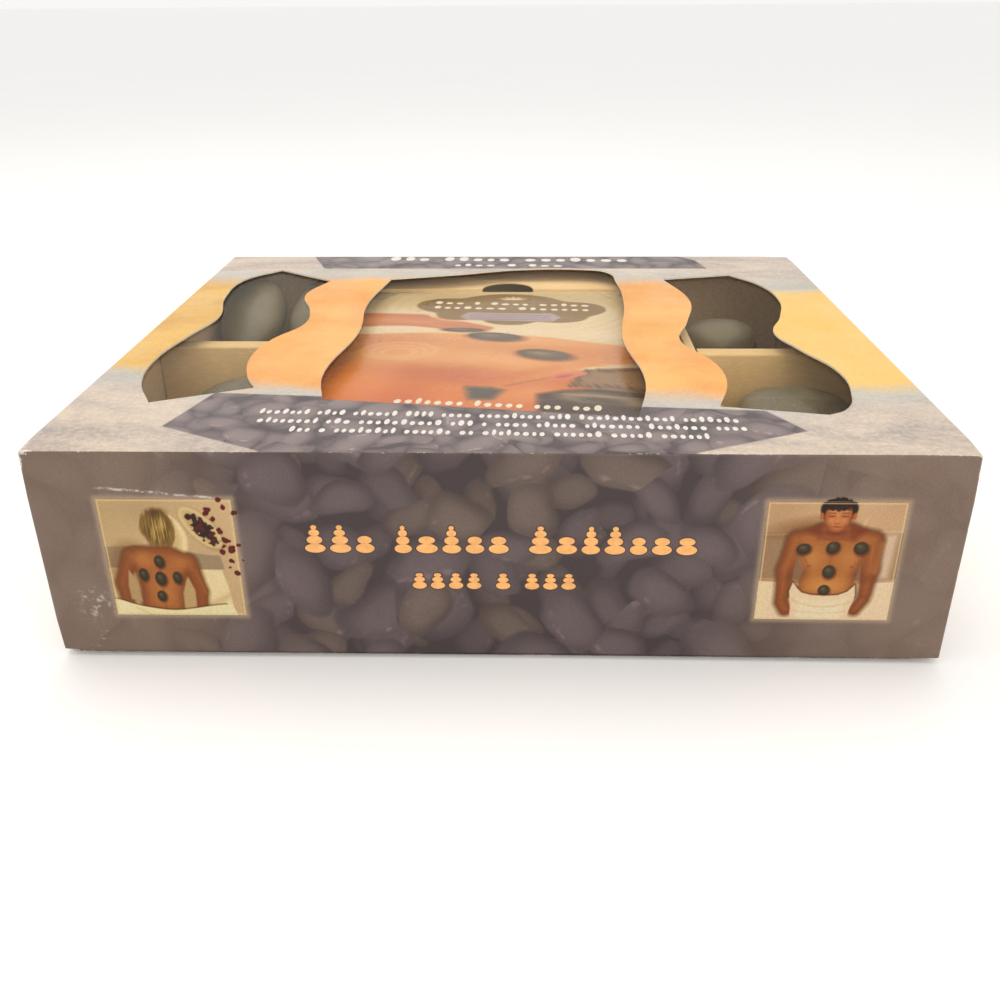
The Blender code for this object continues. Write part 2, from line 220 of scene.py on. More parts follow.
# The lowest patchiness of 0.35 keeps a thin pale line along every fold, rubbed or not: a painted edge
# highlight.
patchy = ramp(fold_wear_and_highlight, noise(fold_wear_and_highlight, given["Place"], 60.0, 5.0, 0.65), 0.35, 0.72, 0.35, 1.7)
fibres = ramp(fold_wear_and_highlight, noise(fold_wear_and_highlight, given["Place"], 900.0, 3.0, 0.6), 0.3, 0.7, 0.5, 1.4)
reach = calc(fold_wear_and_highlight, "MULTIPLY", given["Reach"], calc(fold_wear_and_highlight, "MULTIPLY", at_corner, patchy))
reach = calc(fold_wear_and_highlight, "MULTIPLY", reach, fibres)
wear_and_highlight = calc(fold_wear_and_highlight, "DIVIDE", calc(fold_wear_and_highlight, "SUBTRACT", reach, to_fold), 0.0004)
fold_wear_and_highlight.links.new(add(fold_wear_and_highlight, "Clamp", {"Value": wear_and_highlight}).outputs[0], result["Mask"])

# The printed picture of river pebbles, in three layers: each pebble is a flat oval that darkens
# towards its rim, with a thin bright arc where it was wet.
# A layer's figures are how fine it is, its turn, where its light comes from, and how bright it is.
PEBBLE_LAYERS = (
    (1.25, 0.4, (-0.3, 0.9, 0.0), 0.55),
    (1.0, 1.3, (-0.9, 0.3, 0.0), 0.8),
    (0.8, 2.3, (0.2, 0.95, 0.0), 1.0),
)
pebble_print, given, result = node_group(
    "Pebble print",
    {"Place": (0.0, 0.0, 0.0), "Pebble size": 0.014},
    {"Shade": "Float", "Tone": "Float"},
)
scale = calc(pebble_print, "DIVIDE", 1.0, given["Pebble size"])
scaled = add(
    pebble_print, "VectorMath", {0: given["Place"], "Scale": scale}, operation="SCALE"
).outputs[0]
drift = add(pebble_print, "TexNoise", {"Vector": scaled, "Scale": 0.55, "Detail": 1.0}).outputs["Color"]
drift = vectors(pebble_print, "SUBTRACT", drift, (0.5, 0.5, 0.5))
drift = vectors(pebble_print, "MULTIPLY", drift, (0.9, 0.9, 0.0))
scaled = vectors(pebble_print, "ADD", scaled, drift)
shade, tone = 0.05, 0.5
for depth, (frequency, turn, light, dull) in enumerate(PEBBLE_LAYERS):
    shift = (7.3 * depth, 3.1 * depth, 0.0)
    here = stretch(pebble_print, scaled, (frequency, frequency, 1.0), (0.0, 0.0, turn), shift)
    inputs = {"Vector": here, "Scale": 1.0, "Randomness": 0.7}
    cell = add(pebble_print, "TexVoronoi", inputs, voronoi_dimensions="2D").outputs
    own = add(pebble_print, "SeparateColor", {0: cell["Color"]}).outputs
    offset = vectors(pebble_print, "SUBTRACT", here, cell["Position"])
    angle = calc(pebble_print, "MULTIPLY", own[0], 3.14)
    inputs = {"Vector": offset, "Angle": angle}
    turned = add(pebble_print, "VectorRotate", inputs, rotation_type="Z_AXIS").outputs[0]
    turned = vectors(pebble_print, "MULTIPLY", turned, (1.75, 2.7, 0.0))
    size = calc(pebble_print, "MULTIPLY_ADD", own[1], 0.45, 0.75)
    lumpy = calc(pebble_print, "MULTIPLY_ADD", noise(pebble_print, here, 1.6, 1.0), 0.5, -0.25)
    round_out = calc(pebble_print, "DIVIDE", vectors(pebble_print, "LENGTH", turned), size)
    round_out = calc(pebble_print, "ADD", round_out, lumpy)
    covers = ramp(pebble_print, round_out, 0.88, 1.06, 1.0, 0.0)
    dome = ramp(pebble_print, round_out, 0.30, 1.0, 0.60, 0.28)
    lit = vectors(pebble_print, "DOT_PRODUCT", turned, light)
    face = calc(pebble_print, "MULTIPLY_ADD", lit, 0.16, dome)
    wet = ramp(pebble_print, round_out, 0.50, 0.66)
    wet = calc(pebble_print, "MULTIPLY", wet, ramp(pebble_print, round_out, 0.70, 0.86, 1.0, 0.0))
    wet = calc(pebble_print, "MULTIPLY", wet, ramp(pebble_print, lit, 0.35, 0.75))
    patchy = ramp(pebble_print, noise(pebble_print, here, 5.0, 2.0), 0.45, 0.75)
    wet = calc(pebble_print, "MULTIPLY", wet, patchy)
    face = calc(pebble_print, "MULTIPLY_ADD", wet, 0.85, face)
    face = calc(pebble_print, "MULTIPLY", face, dull)
    shade = add(pebble_print, "Mix", {0: covers, 2: shade, 3: face}).outputs[0]
    tone = add(pebble_print, "Mix", {0: covers, 2: tone, 3: own[2]}).outputs[0]
pebble_print.links.new(shade, result["Shade"])
pebble_print.links.new(tone, result["Tone"])

# The walls' print: dark pebbles in the middle that fade to a warm grey at both ends, and scuffs.
wall_print, given, result = node_group(
    "Wall print", {"Place": (0.0, 0.0, 0.0)}, {"Color": "Color", "Scuff": "Float"}
)
axes = add(wall_print, "SeparateXYZ", {0: given["Place"]}).outputs
wander = calc(wall_print, "SUBTRACT", noise(wall_print, given["Place"], 18.0, 2.0), 0.5)
outwards = calc(wall_print, "MULTIPLY_ADD", wander, 0.06, calc(wall_print, "ABSOLUTE", axes[0]))
at_ends = ramp(wall_print, outwards, 0.062, 0.135)
pebbles = use_group(wall_print, pebble_print, Place=given["Place"], Pebble_size=0.020)
dark = blend_colours(wall_print, pebbles["Shade"], (0.040, 0.028, 0.029), (0.154, 0.114, 0.117))
tan = blend_colours(wall_print, pebbles["Shade"], (0.045, 0.030, 0.026), (0.182, 0.132, 0.108))
dark = blend_colours(wall_print, ramp(wall_print, pebbles["Tone"], 0.55, 0.75), dark, tan)
cloud = noise(wall_print, given["Place"], 26.0, 4.0)
warm = blend_colours(wall_print, cloud, (0.128, 0.085, 0.064), (0.164, 0.110, 0.080))
warm = blend_colours(
    wall_print, calc(wall_print, "MULTIPLY", pebbles["Shade"], 0.20), warm, (0.34, 0.26, 0.21)
)
wall_print.links.new(blend_colours(wall_print, at_ends, dark, warm), result["Color"])
streaks = stretch(wall_print, given["Place"], (60.0, 700.0, 1.0), (0, 0, 0.12))
streaks = noise(wall_print, streaks, 1.0, 5.0, 0.7)
flecks = noise(wall_print, given["Place"], 300.0, 4.0, 0.7)
flecks = ramp(wall_print, flecks, 0.50, 0.60)
scuffed = calc(wall_print, "MULTIPLY", ramp(wall_print, streaks, 0.58, 0.68), flecks)
patches = ramp(wall_print, noise(wall_print, given["Place"], 17.0, 2.0), 0.64, 0.72)
wall_print.links.new(calc(wall_print, "MULTIPLY", scuffed, patches), result["Scuff"])

# Unprinted board, off-white with short grey fibres.
bare_board, given, result = node_group(
    "Bare board", {"Place": (0.0, 0.0, 0.0)}, {"Color": "Color", "Height": "Float"}
)
fibres = noise(bare_board, stretch(bare_board, given["Place"], (500.0, 900.0, 500.0)), 1.0, 4.0, 0.7)
blotch = noise(bare_board, given["Place"], 30.0, 3.0)
colour = blend_colours(
    bare_board, ramp(bare_board, fibres, 0.3, 0.7), (0.66, 0.61, 0.52), (0.80, 0.77, 0.70)
)
colour = blend_colours(
    bare_board, ramp(bare_board, blotch, 0.4, 0.7, 0.0, 0.25), colour, (0.62, 0.55, 0.45)
)
bare_board.links.new(colour, result["Color"])
bare_board.links.new(fibres, result["Height"])


def plan_place(tree, place, across, up):
    """Two of a place's three axes, as a flat place that a print is laid out in."""
    parts = add(tree, "SeparateXYZ", {0: place}).outputs
    return add(tree, "CombineXYZ", {0: parts[across], 1: parts[up]}).outputs[0]


def printed(name, picture_of, half, level, reach=0.00045, gloss=0.36):
    """Varnished print on board: its picture, rubbed white at the folds and with a painted highlight
    along them, over a faint orange peel.
    """
    material, tree, shader, place = finish(name, roughness=gloss, Specular_IOR_Level=0.28)
    colour, scuff = picture_of(tree, place)
    folds = {"Half_width": half[0], "Half_depth": half[1], "Level": level, "Reach": reach}
    # The fold mask carries wear and a painted highlight line along the folds; the scuffs are wear.
    wear_and_highlight = calc(tree, "MAXIMUM", use_group(tree, fold_wear_and_highlight, Place=place, **folds)["Mask"], scuff)
    dots = ramp(tree, noise(tree, place, 1500.0, 1.0), 0.3, 0.7, 0.94, 1.06)
    dots = add(tree, "CombineColor", {0: dots, 1: dots, 2: dots}).outputs[0]
    colour = blend_colours(tree, 1.0, colour, dots, "MULTIPLY")
    bare = use_group(tree, bare_board, Place=place)["Color"]
    colour = blend_colours(tree, calc(tree, "MULTIPLY", wear_and_highlight, 0.7), colour, bare)
    tree.links.new(colour, shader.inputs["Base Color"])
    smudge = ramp(tree, noise(tree, place, 35.0, 4.0, 0.6), 0.3, 0.75, gloss - 0.06, gloss + 0.12)
    tree.links.new(calc(tree, "MULTIPLY_ADD", wear_and_highlight, 0.4, smudge), shader.inputs["Roughness"])
    peel = calc(tree, "MULTIPLY_ADD", wear_and_highlight, -0.8, noise(tree, place, 700.0, 2.0))
    emboss(tree, shader, peel, 0.10, 0.0002)
    return material


def tray_picture(tree, place):
    """Pebbles on the outside of the tray's board, and its tan lining on the rest of its thickness."""
    axes = add(tree, "SeparateXYZ", {0: place}).outputs
    to_side = calc(tree, "SUBTRACT", TRAY_HIGH.x, calc(tree, "ABSOLUTE", axes[0]))
    to_end = calc(tree, "SUBTRACT", TRAY_HIGH.y, calc(tree, "ABSOLUTE", axes[1]))
    depth = calc(tree, "MINIMUM", calc(tree, "MINIMUM", to_side, to_end), axes[2])
    flat = place
    for distance, across in ((to_side, 1), (to_end, 0)):
        on_wall = calc(tree, "LESS_THAN", distance, NEAR_FACE)
        inputs = {0: on_wall, 4: flat, 5: plan_place(tree, place, across, 2)}
        flat = add(tree, "Mix", inputs, data_type="VECTOR").outputs[1]
    printed_side = use_group(tree, wall_print, Place=flat)
    bare = use_group(tree, bare_board, Place=place)["Color"]
    bare = blend_colours(tree, 1.0, bare, (0.98, 0.74, 0.47), "MULTIPLY")
    inked = ramp(tree, depth, INK_DEPTH, INK_DEPTH + 0.00005, 1.0, 0.0)
    dim = blend_colours(tree, 1.0, printed_side["Color"], (0.80, 0.78, 0.80), "MULTIPLY")
    return blend_colours(tree, inked, bare, dim), calc(tree, "MULTIPLY", printed_side["Scuff"], inked)


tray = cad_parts["base_tray"]
tray.data.materials.clear()
tray_half = (TRAY_HIGH.x, TRAY_HIGH.y)
tray.data.materials.append(printed("tray_board_print", tray_picture, tray_half, 0.0, 0.0004))

# ---- Insert and dividers ------------------------------------------------------------------------
# A platform of tan card, folded and dropped into the tray, with a well for the book and a thumb
# notch behind it, and one folded divider in the bay at each side. All are plain card, cut and creased.
CARD_FOLD = 0.0003


def merged_copy(name, node):
    """A new object with a CAD node's shape, its loose triangles joined and its flat faces whole."""
    bm = bmesh.new()
    bm.from_mesh(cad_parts[node].data)
    bmesh.ops.remove_doubles(bm, verts=bm.verts, dist=0.000001)
    mesh = bpy.data.meshes.new(name)
    bm.to_mesh(mesh)
    bm.free()
    copy = bpy.data.objects.new(name, mesh)
    bpy.context.scene.collection.objects.link(copy)
    return copy


def plain_mesh(obj):
    """The object with its modifiers applied and removed."""
    depsgraph = bpy.context.evaluated_depsgraph_get()
    mesh = bpy.data.meshes.new_from_object(obj.evaluated_get(depsgraph))
    mesh.name = obj.name
    obj.modifiers.clear()
    obj.data = mesh
    return obj


def tan_card(name, light, dark):
    """Uncoated card: fibres in one direction, some paler than the rest, with soft blotches and dark
    specks.
    """
    material, tree, shader, place = finish(name, roughness=0.78, Sheen_Weight=0.08)
    fibres = noise(tree, stretch(tree, place, (260.0, 1100.0, 900.0)), 1.0, 5.0, 0.7)
    blotch = noise(tree, place, 22.0, 4.0, 0.55)
    colour = blend_colours(tree, ramp(tree, blotch, 0.3, 0.7), dark, light)
    pale = tuple(min(1.0, value * 1.25 + 0.03) for value in light)
    colour = blend_colours(tree, ramp(tree, fibres, 0.45, 0.80, 0.0, 0.55), colour, pale)
    specks = ramp(tree, noise(tree, place, 1400.0, 2.0, 0.8), 0.66, 0.74, 0.0, 0.5)
    colour = blend_colours(tree, specks, colour, tuple(value * 0.45 for value in dark))
    tree.links.new(colour, shader.inputs["Base Color"])
    tree.links.new(ramp(tree, fibres, 0.2, 0.8, 0.70, 0.88), shader.inputs["Roughness"])
    emboss(tree, shader, fibres, 0.22, 0.00015)
    return material


insert_card = tan_card("insert_card", (0.74, 0.51, 0.24), (0.62, 0.41, 0.17))
divider_card = tan_card("divider_card", (0.70, 0.47, 0.20), (0.58, 0.38, 0.15))
for node, material in (
    ("insert_platform", insert_card),
    ("left_divider", divider_card),
    ("right_divider", divider_card),
):
    card = merged_copy("creased_" + node, node)
    crease = card.modifiers.new("crease", "BEVEL")
    crease.limit_method = "ANGLE"
    crease.angle_limit = math.radians(40)
    crease.width = CARD_FOLD
    crease.segments = 2
    plain_mesh(card)
    card.data.materials.clear()
    card.data.materials.append(material)
    card.data.shade_smooth()
    card.data.set_sharp_from_angle(angle=math.radians(35))
    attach(card, "tray")
    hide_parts(node)

# ---- Basalt stones ------------------------------------------------------------------------------
# River-rounded basalt, dark grey with an olive cast, tumbled to a soft shine. They lie loose in the
# four bays, each a slightly different oval, with fine pits and paler mineral specks.
PIT_DEPTH = 0.00025
PIT_WAVES = ((310.0, 170.0, 240.0), (-130.0, 290.0, 350.0))

stone_material, tree, shader, place = finish("tumbled_basalt", roughness=0.42, Specular_IOR_Level=0.45)
mottle = noise(tree, place, 55.0, 5.0, 0.6)
grain = noise(tree, place, 900.0, 3.0, 0.7)
flecks = ramp(tree, noise(tree, place, 520.0, 2.0, 0.8), 0.64, 0.72)
colour = blend_colours(tree, ramp(tree, mottle, 0.3, 0.7), (0.078, 0.062, 0.030), (0.145, 0.112, 0.052))
colour = blend_colours(tree, ramp(tree, grain, 0.3, 0.75, 0.0, 0.5), colour, (0.192, 0.152, 0.080))
colour = blend_colours(tree, calc(tree, "MULTIPLY", flecks, 0.55), colour, (0.36, 0.31, 0.22))
tree.links.new(colour, shader.inputs["Base Color"])
tree.links.new(ramp(tree, mottle, 0.3, 0.7, 0.36, 0.52), shader.inputs["Roughness"])
emboss(tree, shader, calc(tree, "MULTIPLY_ADD", flecks, -0.6, grain), 0.18, 0.0004)

for node in sorted(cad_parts):
    if "_stone_" not in node:
        continue
    stone = merged_copy("tumbled_" + node, node)
    smooth = stone.modifiers.new("tumbling", "SUBSURF")
    smooth.levels = smooth.render_levels = 2
    plain_mesh(stone)
    points = np.array([vert.co for vert in stone.data.vertices])
    normals = np.array([vert.normal for vert in stone.data.vertices])
    pits = 0.5 + sum(0.25 * np.sin(points @ wave) for wave in PIT_WAVES)
    stone.data.vertices.foreach_set("co", (points - normals * pits[:, None] * PIT_DEPTH).ravel())
    stone.data.materials.clear()
    stone.data.materials.append(stone_material)
    stone.data.shade_smooth()
    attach(stone, node)
    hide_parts(node)

# ---- Book ---------------------------------------------------------------------------------------
# A paperback that fills the well: a stack of trimmed cream pages in a wrapped card cover. Its front
# cover is a printed picture of stones laid on a bare back, under a cloud-shaped title panel.
PICTURE_STEP = 0.0006
COVER_LOW, COVER_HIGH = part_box("book_front_cover")
COVER_SKIN = 0.00004

paper, tree, shader, place = finish("trimmed_paper", roughness=0.8)
sheets = noise(tree, stretch(tree, place, (6.0, 6.0, 5200.0)), 1.0, 3.0, 0.7)
waves = noise(tree, stretch(tree, place, (20.0, 20.0, 900.0)), 1.0, 3.0)
colour = blend_colours(tree, ramp(tree, sheets, 0.35, 0.65), (0.52, 0.46, 0.36), (0.84, 0.79, 0.68))
colour = blend_colours(tree, ramp(tree, waves, 0.55, 0.75, 0.0, 0.35), colour, (0.60, 0.52, 0.40))
page_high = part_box("book_pages")[1].z
level = add(tree, "SeparateXYZ", {0: place}).outputs[2]
on_top = calc(tree, "GREATER_THAN", level, page_high - 0.00005)
first_page = blend_colours(tree, noise(tree, place, 400.0, 3.0), (0.78, 0.73, 0.62), (0.84, 0.80, 0.70))
colour = blend_colours(tree, on_top, colour, first_page)
tree.links.new(colour, shader.inputs["Base Color"])
emboss(tree, shader, sheets, 0.3, 0.0001)
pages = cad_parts["book_pages"]
pages.data.materials.clear()
pages.data.materials.append(paper)

wrap, tree, shader, place = finish(
    "laminated_cover", roughness=0.3, Coat_Weight=0.25, Coat_Roughness=0.12
)
cloud = noise(tree, place, 24.0, 4.0)
colour = blend_colours(tree, ramp(tree, cloud, 0.3, 0.7), (0.70, 0.63, 0.47), (0.74, 0.68, 0.53))
across = add(tree, "SeparateXYZ", {0: place}).outputs[0]
on_spine = calc(tree, "LESS_THAN", across, COVER_LOW.x + 0.0003)
colour = blend_colours(tree, on_spine, colour, (0.24, 0.18, 0.08))
tree.links.new(colour, shader.inputs["Base Color"])
emboss(tree, shader, noise(tree, place, 600.0, 2.0), 0.06, 0.0001)
back_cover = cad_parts["book_back_cover_and_spine"]
back_cover.data.materials.clear()
back_cover.data.materials.append(wrap)

board = bmesh.new()
bmesh.ops.create_cube(board, size=1.0)
size = COVER_HIGH - COVER_LOW - Vector((0.0, 0.0, COVER_SKIN))
bmesh.ops.transform(board, matrix=Matrix.Diagonal((*size, 1.0)), verts=board.verts)
bmesh.ops.translate(board, vec=COVER_LOW + size / 2, verts=board.verts)
bmesh.ops.bevel(board, geom=board.edges[:], offset=0.00012, segments=2, profile=0.5, affect="EDGES")
cover_mesh = bpy.data.meshes.new("book_cover_card")
board.to_mesh(cover_mesh)
board.free()
cover_card = bpy.data.objects.new("book_cover_card", cover_mesh)
bpy.context.scene.collection.objects.link(cover_card)
cover_card.data.materials.append(wrap)
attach(cover_card, "book_cover")
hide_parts("book_front_cover")


def oval(x, y, centre_x, centre_y, half_x, half_y, turn=0.0):
    """How far each point is outside an oval."""
    c, s = math.cos(math.radians(turn)), math.sin(math.radians(turn))
    along = ((x - centre_x) * c + (y - centre_y) * s) / half_x
    across = ((y - centre_y) * c - (x - centre_x) * s) / half_y
    return (np.hypot(along, across) - 1.0) * min(half_x, half_y)


def limb(x, y, start, end):
    """How far each point is outside a tapered rounded bar; start and end are (x, y, radius)."""
    run, rise = end[0] - start[0], end[1] - start[1]
    t = np.clip(((x - start[0]) * run + (y - start[1]) * rise) / (run * run + rise * rise), 0.0, 1.0)
    off = np.hypot(x - start[0] - run * t, y - start[1] - rise * t)
    return off - start[2] - (end[2] - start[2]) * t


def patch(x, y, *corners):
    """How far each point is outside a polygon."""
    nearest = np.full(x.shape, 1e9)
    inside = np.zeros(x.shape, bool)
    for (ax, ay), (bx, by) in zip(corners, corners[1:] + corners[:1]):
        nearest = np.minimum(nearest, limb(x, y, (ax, ay, 0.0), (bx, by, 0.0)))
        crosses = (ay > y) != (by > y)
        inside ^= crosses & (x < (bx - ax) * (y - ay) / (by - ay + 1e-12) + ax)
    return np.where(inside, -nearest, nearest)


def melt(soft, *shapes):
    """Shapes run into each other."""
    return -soft * np.log(sum(np.exp(np.clip(-shape / soft, -60.0, 60.0)) for shape in shapes))


def drift_over(x, y, size, seed):
    """Soft noise from 0 to 1 on a flat picture."""
    table = np.random.default_rng(seed).random((64, 64))
    x, y = np.asarray(x / size + 31.7), np.asarray(y / size + 17.3)
    left, low = np.floor(x).astype(int), np.floor(y).astype(int)
    tx, ty = x - left, y - low
    tx, ty = tx * tx * (3 - 2 * tx), ty * ty * (3 - 2 * ty)
    rows = [
        table[(low + n) % 64, left % 64] * (1 - tx) + table[(low + n) % 64, (left + 1) % 64] * tx
        for n in (0, 1)
    ]
    return rows[0] * (1 - ty) + rows[1] * ty


def lay(picture, colour, outside, soft, strength=1.0):
    """Lays a colour over a picture where outside is below zero, with a soft edge."""
    cover = np.clip(0.5 - outside / soft, 0.0, 1.0) * strength
    picture += (np.array(colour, float) / 255.0 - picture) * cover[..., None]


def lay_stone(picture, x, y, centre, half, turn, light=1.0):
    """A dark stone with its shadow, a paler top and a small highlight."""
    cx, cy = centre
    wide, high = half
    size = min(half)
    shadow = oval(x, y, cx + size * 0.15, cy - size * 0.25, wide * 1.12, high * 1.12, turn)
    top = oval(x, y, cx, cy + size * 0.12, wide * 0.62, high * 0.6, turn)
    shine = oval(x, y, cx - wide * 0.2, cy + high * 0.3, wide * 0.25, high * 0.2, turn)
    lay(picture, (95, 55, 30), shadow, size * 0.5, 0.7)
    lay(picture, np.multiply((80, 70, 50), light), oval(x, y, cx, cy, wide, high, turn), size * 0.12)
    lay(picture, np.multiply((120, 110, 84), light), top, size * 0.9, 0.8)
    lay(picture, np.multiply((158, 150, 134), light), shine, size * 0.5, 0.6)


def painted_sheet(name, low, across, up, picture, shown=None):
    """A flat grid of points from low along two vectors, with a picture's colour at every point."""
    rows, columns = picture.shape[:2]
    s, t = np.meshgrid(np.linspace(0.0, 1.0, columns), np.linspace(0.0, 1.0, rows))
    points = np.array(low) + s[..., None] * np.array(across) + t[..., None] * np.array(up)
    first = (np.arange(rows - 1)[:, None] * columns + np.arange(columns - 1)).ravel()
    faces = np.stack([first, first + 1, first + columns + 1, first + columns], 1)
    mesh = bpy.data.meshes.new(name)
    mesh.from_pydata(points.reshape(-1, 3), [], faces.tolist())
    light = np.clip(picture, 0.0, 1.0)
    light = np.where(light < 0.04045, light / 12.92, ((light + 0.055) / 1.055) ** 2.4)
    alpha = np.ones(light.shape[:2]) if shown is None else shown
    layer = mesh.color_attributes.new("Picture", "FLOAT_COLOR", "POINT")
    layer.data.foreach_set("color", np.dstack([light, alpha]).astype(np.float32).ravel())
    obj = bpy.data.objects.new(name, mesh)
    bpy.context.scene.collection.objects.link(obj)
    return obj


def picture_ink(name, gloss, strength, see_through=False, coat=0.0):
    """Ink that takes its colour from the picture painted on the sheet, broken up by fine dots."""
    varnish = {"Coat_Weight": coat, "Coat_Roughness": 0.15, "Specular_IOR_Level": 0.28}
    material, tree, shader, place = finish(name, roughness=gloss, **varnish)
    painted = add(tree, "VertexColor", layer_name="Picture").outputs
    dots = noise(tree, place, 1700.0, 1.0)
    pale, deep = tuple(1.06 * part for part in strength), tuple(0.94 * part for part in strength)
    dots = blend_colours(tree, ramp(tree, dots, 0.3, 0.7), deep, pale)
    colour = blend_colours(tree, 1.0, painted["Color"], dots, "MULTIPLY")
    tree.links.new(colour, shader.inputs["Base Color"])
    smudge = ramp(tree, noise(tree, place, 40.0, 3.0), 0.3, 0.7, gloss - 0.05, gloss + 0.08)
    tree.links.new(smudge, shader.inputs["Roughness"])
    if see_through:
        tree.links.new(painted["Alpha"], shader.inputs["Alpha"])
    emboss(tree, shader, noise(tree, place, 600.0, 2.0), 0.06, 0.0001)
    return material


# The cover's picture, in millimetres from the box's middle, as it lies in the well.
columns = round((COVER_HIGH.x - COVER_LOW.x) / PICTURE_STEP) + 1
rows = round((COVER_HIGH.y - COVER_LOW.y) / PICTURE_STEP) + 1
x = np.linspace(COVER_LOW.x, COVER_HIGH.x, columns) * 1000
y = np.linspace(COVER_LOW.y, COVER_HIGH.y, rows) * 1000
x, y = np.meshgrid(x, y)
picture = np.empty((rows, columns, 3))
picture[:] = np.array((230, 220, 184)) / 255.0
picture += ((drift_over(x, y, 40, 1) - 0.5) * 0.06)[..., None]
rings = np.hypot((x - 2) * 0.8, (y - 58) * 1.0)
picture += (0.022 * np.sin(rings * 1.25) * np.clip((rings - 36) / 8, 0, 1))[..., None]
lay(
    picture, (240, 232, 208),
    patch(x, y, (-76, 60), (-50, 52), (0, 28), (40, 22), (76, 12), (76, 2), (30, 10), (-76, 22)), 12,
    0.8,
)
lay(picture, (190, 130, 86), limb(x, y, (-80, 38, 12), (-42, 39, 8.5)), 3.0)
hand = melt(
    1.2, limb(x, y, (-80, 37, 13), (-52, 39, 8.5)), limb(x, y, (-52, 38, 8.5), (-34, 34, 7)),
    limb(x, y, (-34, 35, 6), (-17, 27, 3)), limb(x, y, (-34, 32, 5), (-24, 24, 3)),
    limb(x, y, (-32, 38, 4), (-8, 25, 2.6)),
)
lay(picture, (208, 128, 76), hand, 2.0)
lay(picture, (224, 158, 104), hand + 4.5, 6.0, 0.7)
lay(picture, (160, 92, 54), limb(x, y, (-33, 33, 0.3), (-15, 26.5, 0.2)), 1.6, 0.7)
back = patch(
    x, y, (-90, 14), (-58, 16), (-39, 18), (-18, 17), (7, 14), (20, 11), (32, 6), (46, 1), (59, -4),
    (90, -14), (90, -34), (61, -25), (48, -27), (35, -29), (26, -38), (14, -50), (4, -52), (-4, -70),
    (10, -110), (-90, -110),
)
lay(picture, (219, 148, 74), back, 2.5)
shape = drift_over(x, y, 26, 3) - 0.5
ridge = np.exp(-(((y - (10 - 0.22 * x)) / 9) ** 2)) * np.clip((70 - x) / 40, 0, 1)
low_left = np.clip((-y - 22) / 40, 0, 1) * np.clip((30 - x) / 60, 0, 1)
inside = np.clip(0.5 - back / 3.0, 0, 1)[..., None]
picture += inside * (
    ridge[..., None] * (0.05, 0.10, 0.13) + low_left[..., None] * (-0.01, -0.13, -0.25)
)
picture += inside * shape[..., None] * (0.08, 0.11, 0.12)
lay(picture, (186, 88, 30), oval(x, y, -22, -37, 20, 8, -12), 14, 0.6)
lay(picture, (246, 196, 140), oval(x, y, 0, -20, 22, 8, -14), 12, 0.6)
lay(picture, (238, 190, 128), oval(x, y, -30, -12, 24, 13, 8), 18, 0.6)
lay(picture, (238, 146, 46), oval(x, y, -58, -50, 16, 20), 16, 0.6)
lay(picture, (204, 106, 36), limb(x, y, (-36, -28, 1), (-12, -47, 3)), 9, 0.6)
lay(picture, (214, 118, 46), limb(x, y, (-10, -46, 3), (22, -30, 1.5)), 8, 0.6)
for turn, radius in enumerate((14.5, 10.5, 6.5)):
    ring = np.abs(np.hypot((x + 45) * 0.9, (y + 8 + turn) * 1.25) - radius) - 1.1
    lay(picture, (246, 212, 162), ring, 1.8, 0.36)
cheek = melt(
    2.0, patch(x, y, (-4, -72), (4, -51), (14, -46), (24, -40), (36, -44), (34, -62), (20, -75)),
    oval(x, y, 8, -68, 16, 14),
)
lay(picture, (216, 130, 60), cheek, 2.0)
lay(picture, (234, 164, 92), oval(x, y, 10, -60, 12, 7, 20), 8, 0.7)
lay(picture, (160, 82, 40), limb(x, y, (2, -51, 0.4), (24, -39, 0.4)), 2.2, 0.8)
hair = patch(
    x, y, (30, -37), (34, -32), (48, -30), (62, -29), (90, -36), (90, -68), (60, -60), (40, -54),
    (26, -52),
)
lay(picture, (150, 110, 64), hair, 2.0)
strands = drift_over(x * 2.2 + y * 0.8, y * 0.22, 2.0, 5)
lay(picture, (88, 64, 40), hair - 1.0 + 4.0 * strands, 3.0, 0.8)
lay(
    picture, (190, 158, 116), hair + 0.5 + 6.0 * (1 - drift_over(x * 2.5 + y, y * 0.2, 1.6, 6)), 3.0,
    0.6,
)
lay(
    picture, (226, 205, 180),
    patch(x, y, (40, -26), (62, -23), (90, -30), (90, -34), (62, -30), (46, -30)), 2.0, 0.7,
)
dark = patch(
    x, y, (14, -60), (24, -56), (38, -54), (60, -60), (90, -66), (90, -110), (24, -110), (14, -76)
)
lay(picture, (66, 46, 24), dark, 3.5)
lay(
    picture, (158, 148, 118),
    melt(1.5, oval(x, y, 34, -64, 13, 5.5, -14), oval(x, y, 52, -70, 12, 4.0, -24)), 3.5, 0.75,
)
lay(picture, (46, 36, 28), oval(x, y, 38, -67, 8, 2.6, -16), 3.0, 0.7)
lay(picture, (205, 190, 150), limb(x, y, (24, -60, 0.5), (58, -66, 0.3)), 1.2, 0.6)
ear = melt(1.0, oval(x, y, 25, -39.5, 7, 3.6, 28), oval(x, y, 31, -36.5, 3.2, 2.2))
lay(picture, (224, 132, 100), ear, 1.2)
lay(picture, (182, 78, 56), oval(x, y, 25, -40, 3.6, 1.5, 28), 1.6, 0.8)
lay(
    picture, (72, 74, 68), patch(x, y, (-14, -52), (-4, -53), (1, -56), (-3, -66), (-12, -66)), 4.0,
    0.95,
)
lay_stone(picture, x, y, (-19, 22.5), (9.5, 3.0), -4, 0.95)
lay_stone(picture, x, y, (-4.5, 12.5), (12.0, 5.6), -12, 1.0)
lay_stone(picture, x, y, (17, -12.5), (11.5, 6.2), -18, 1.12)
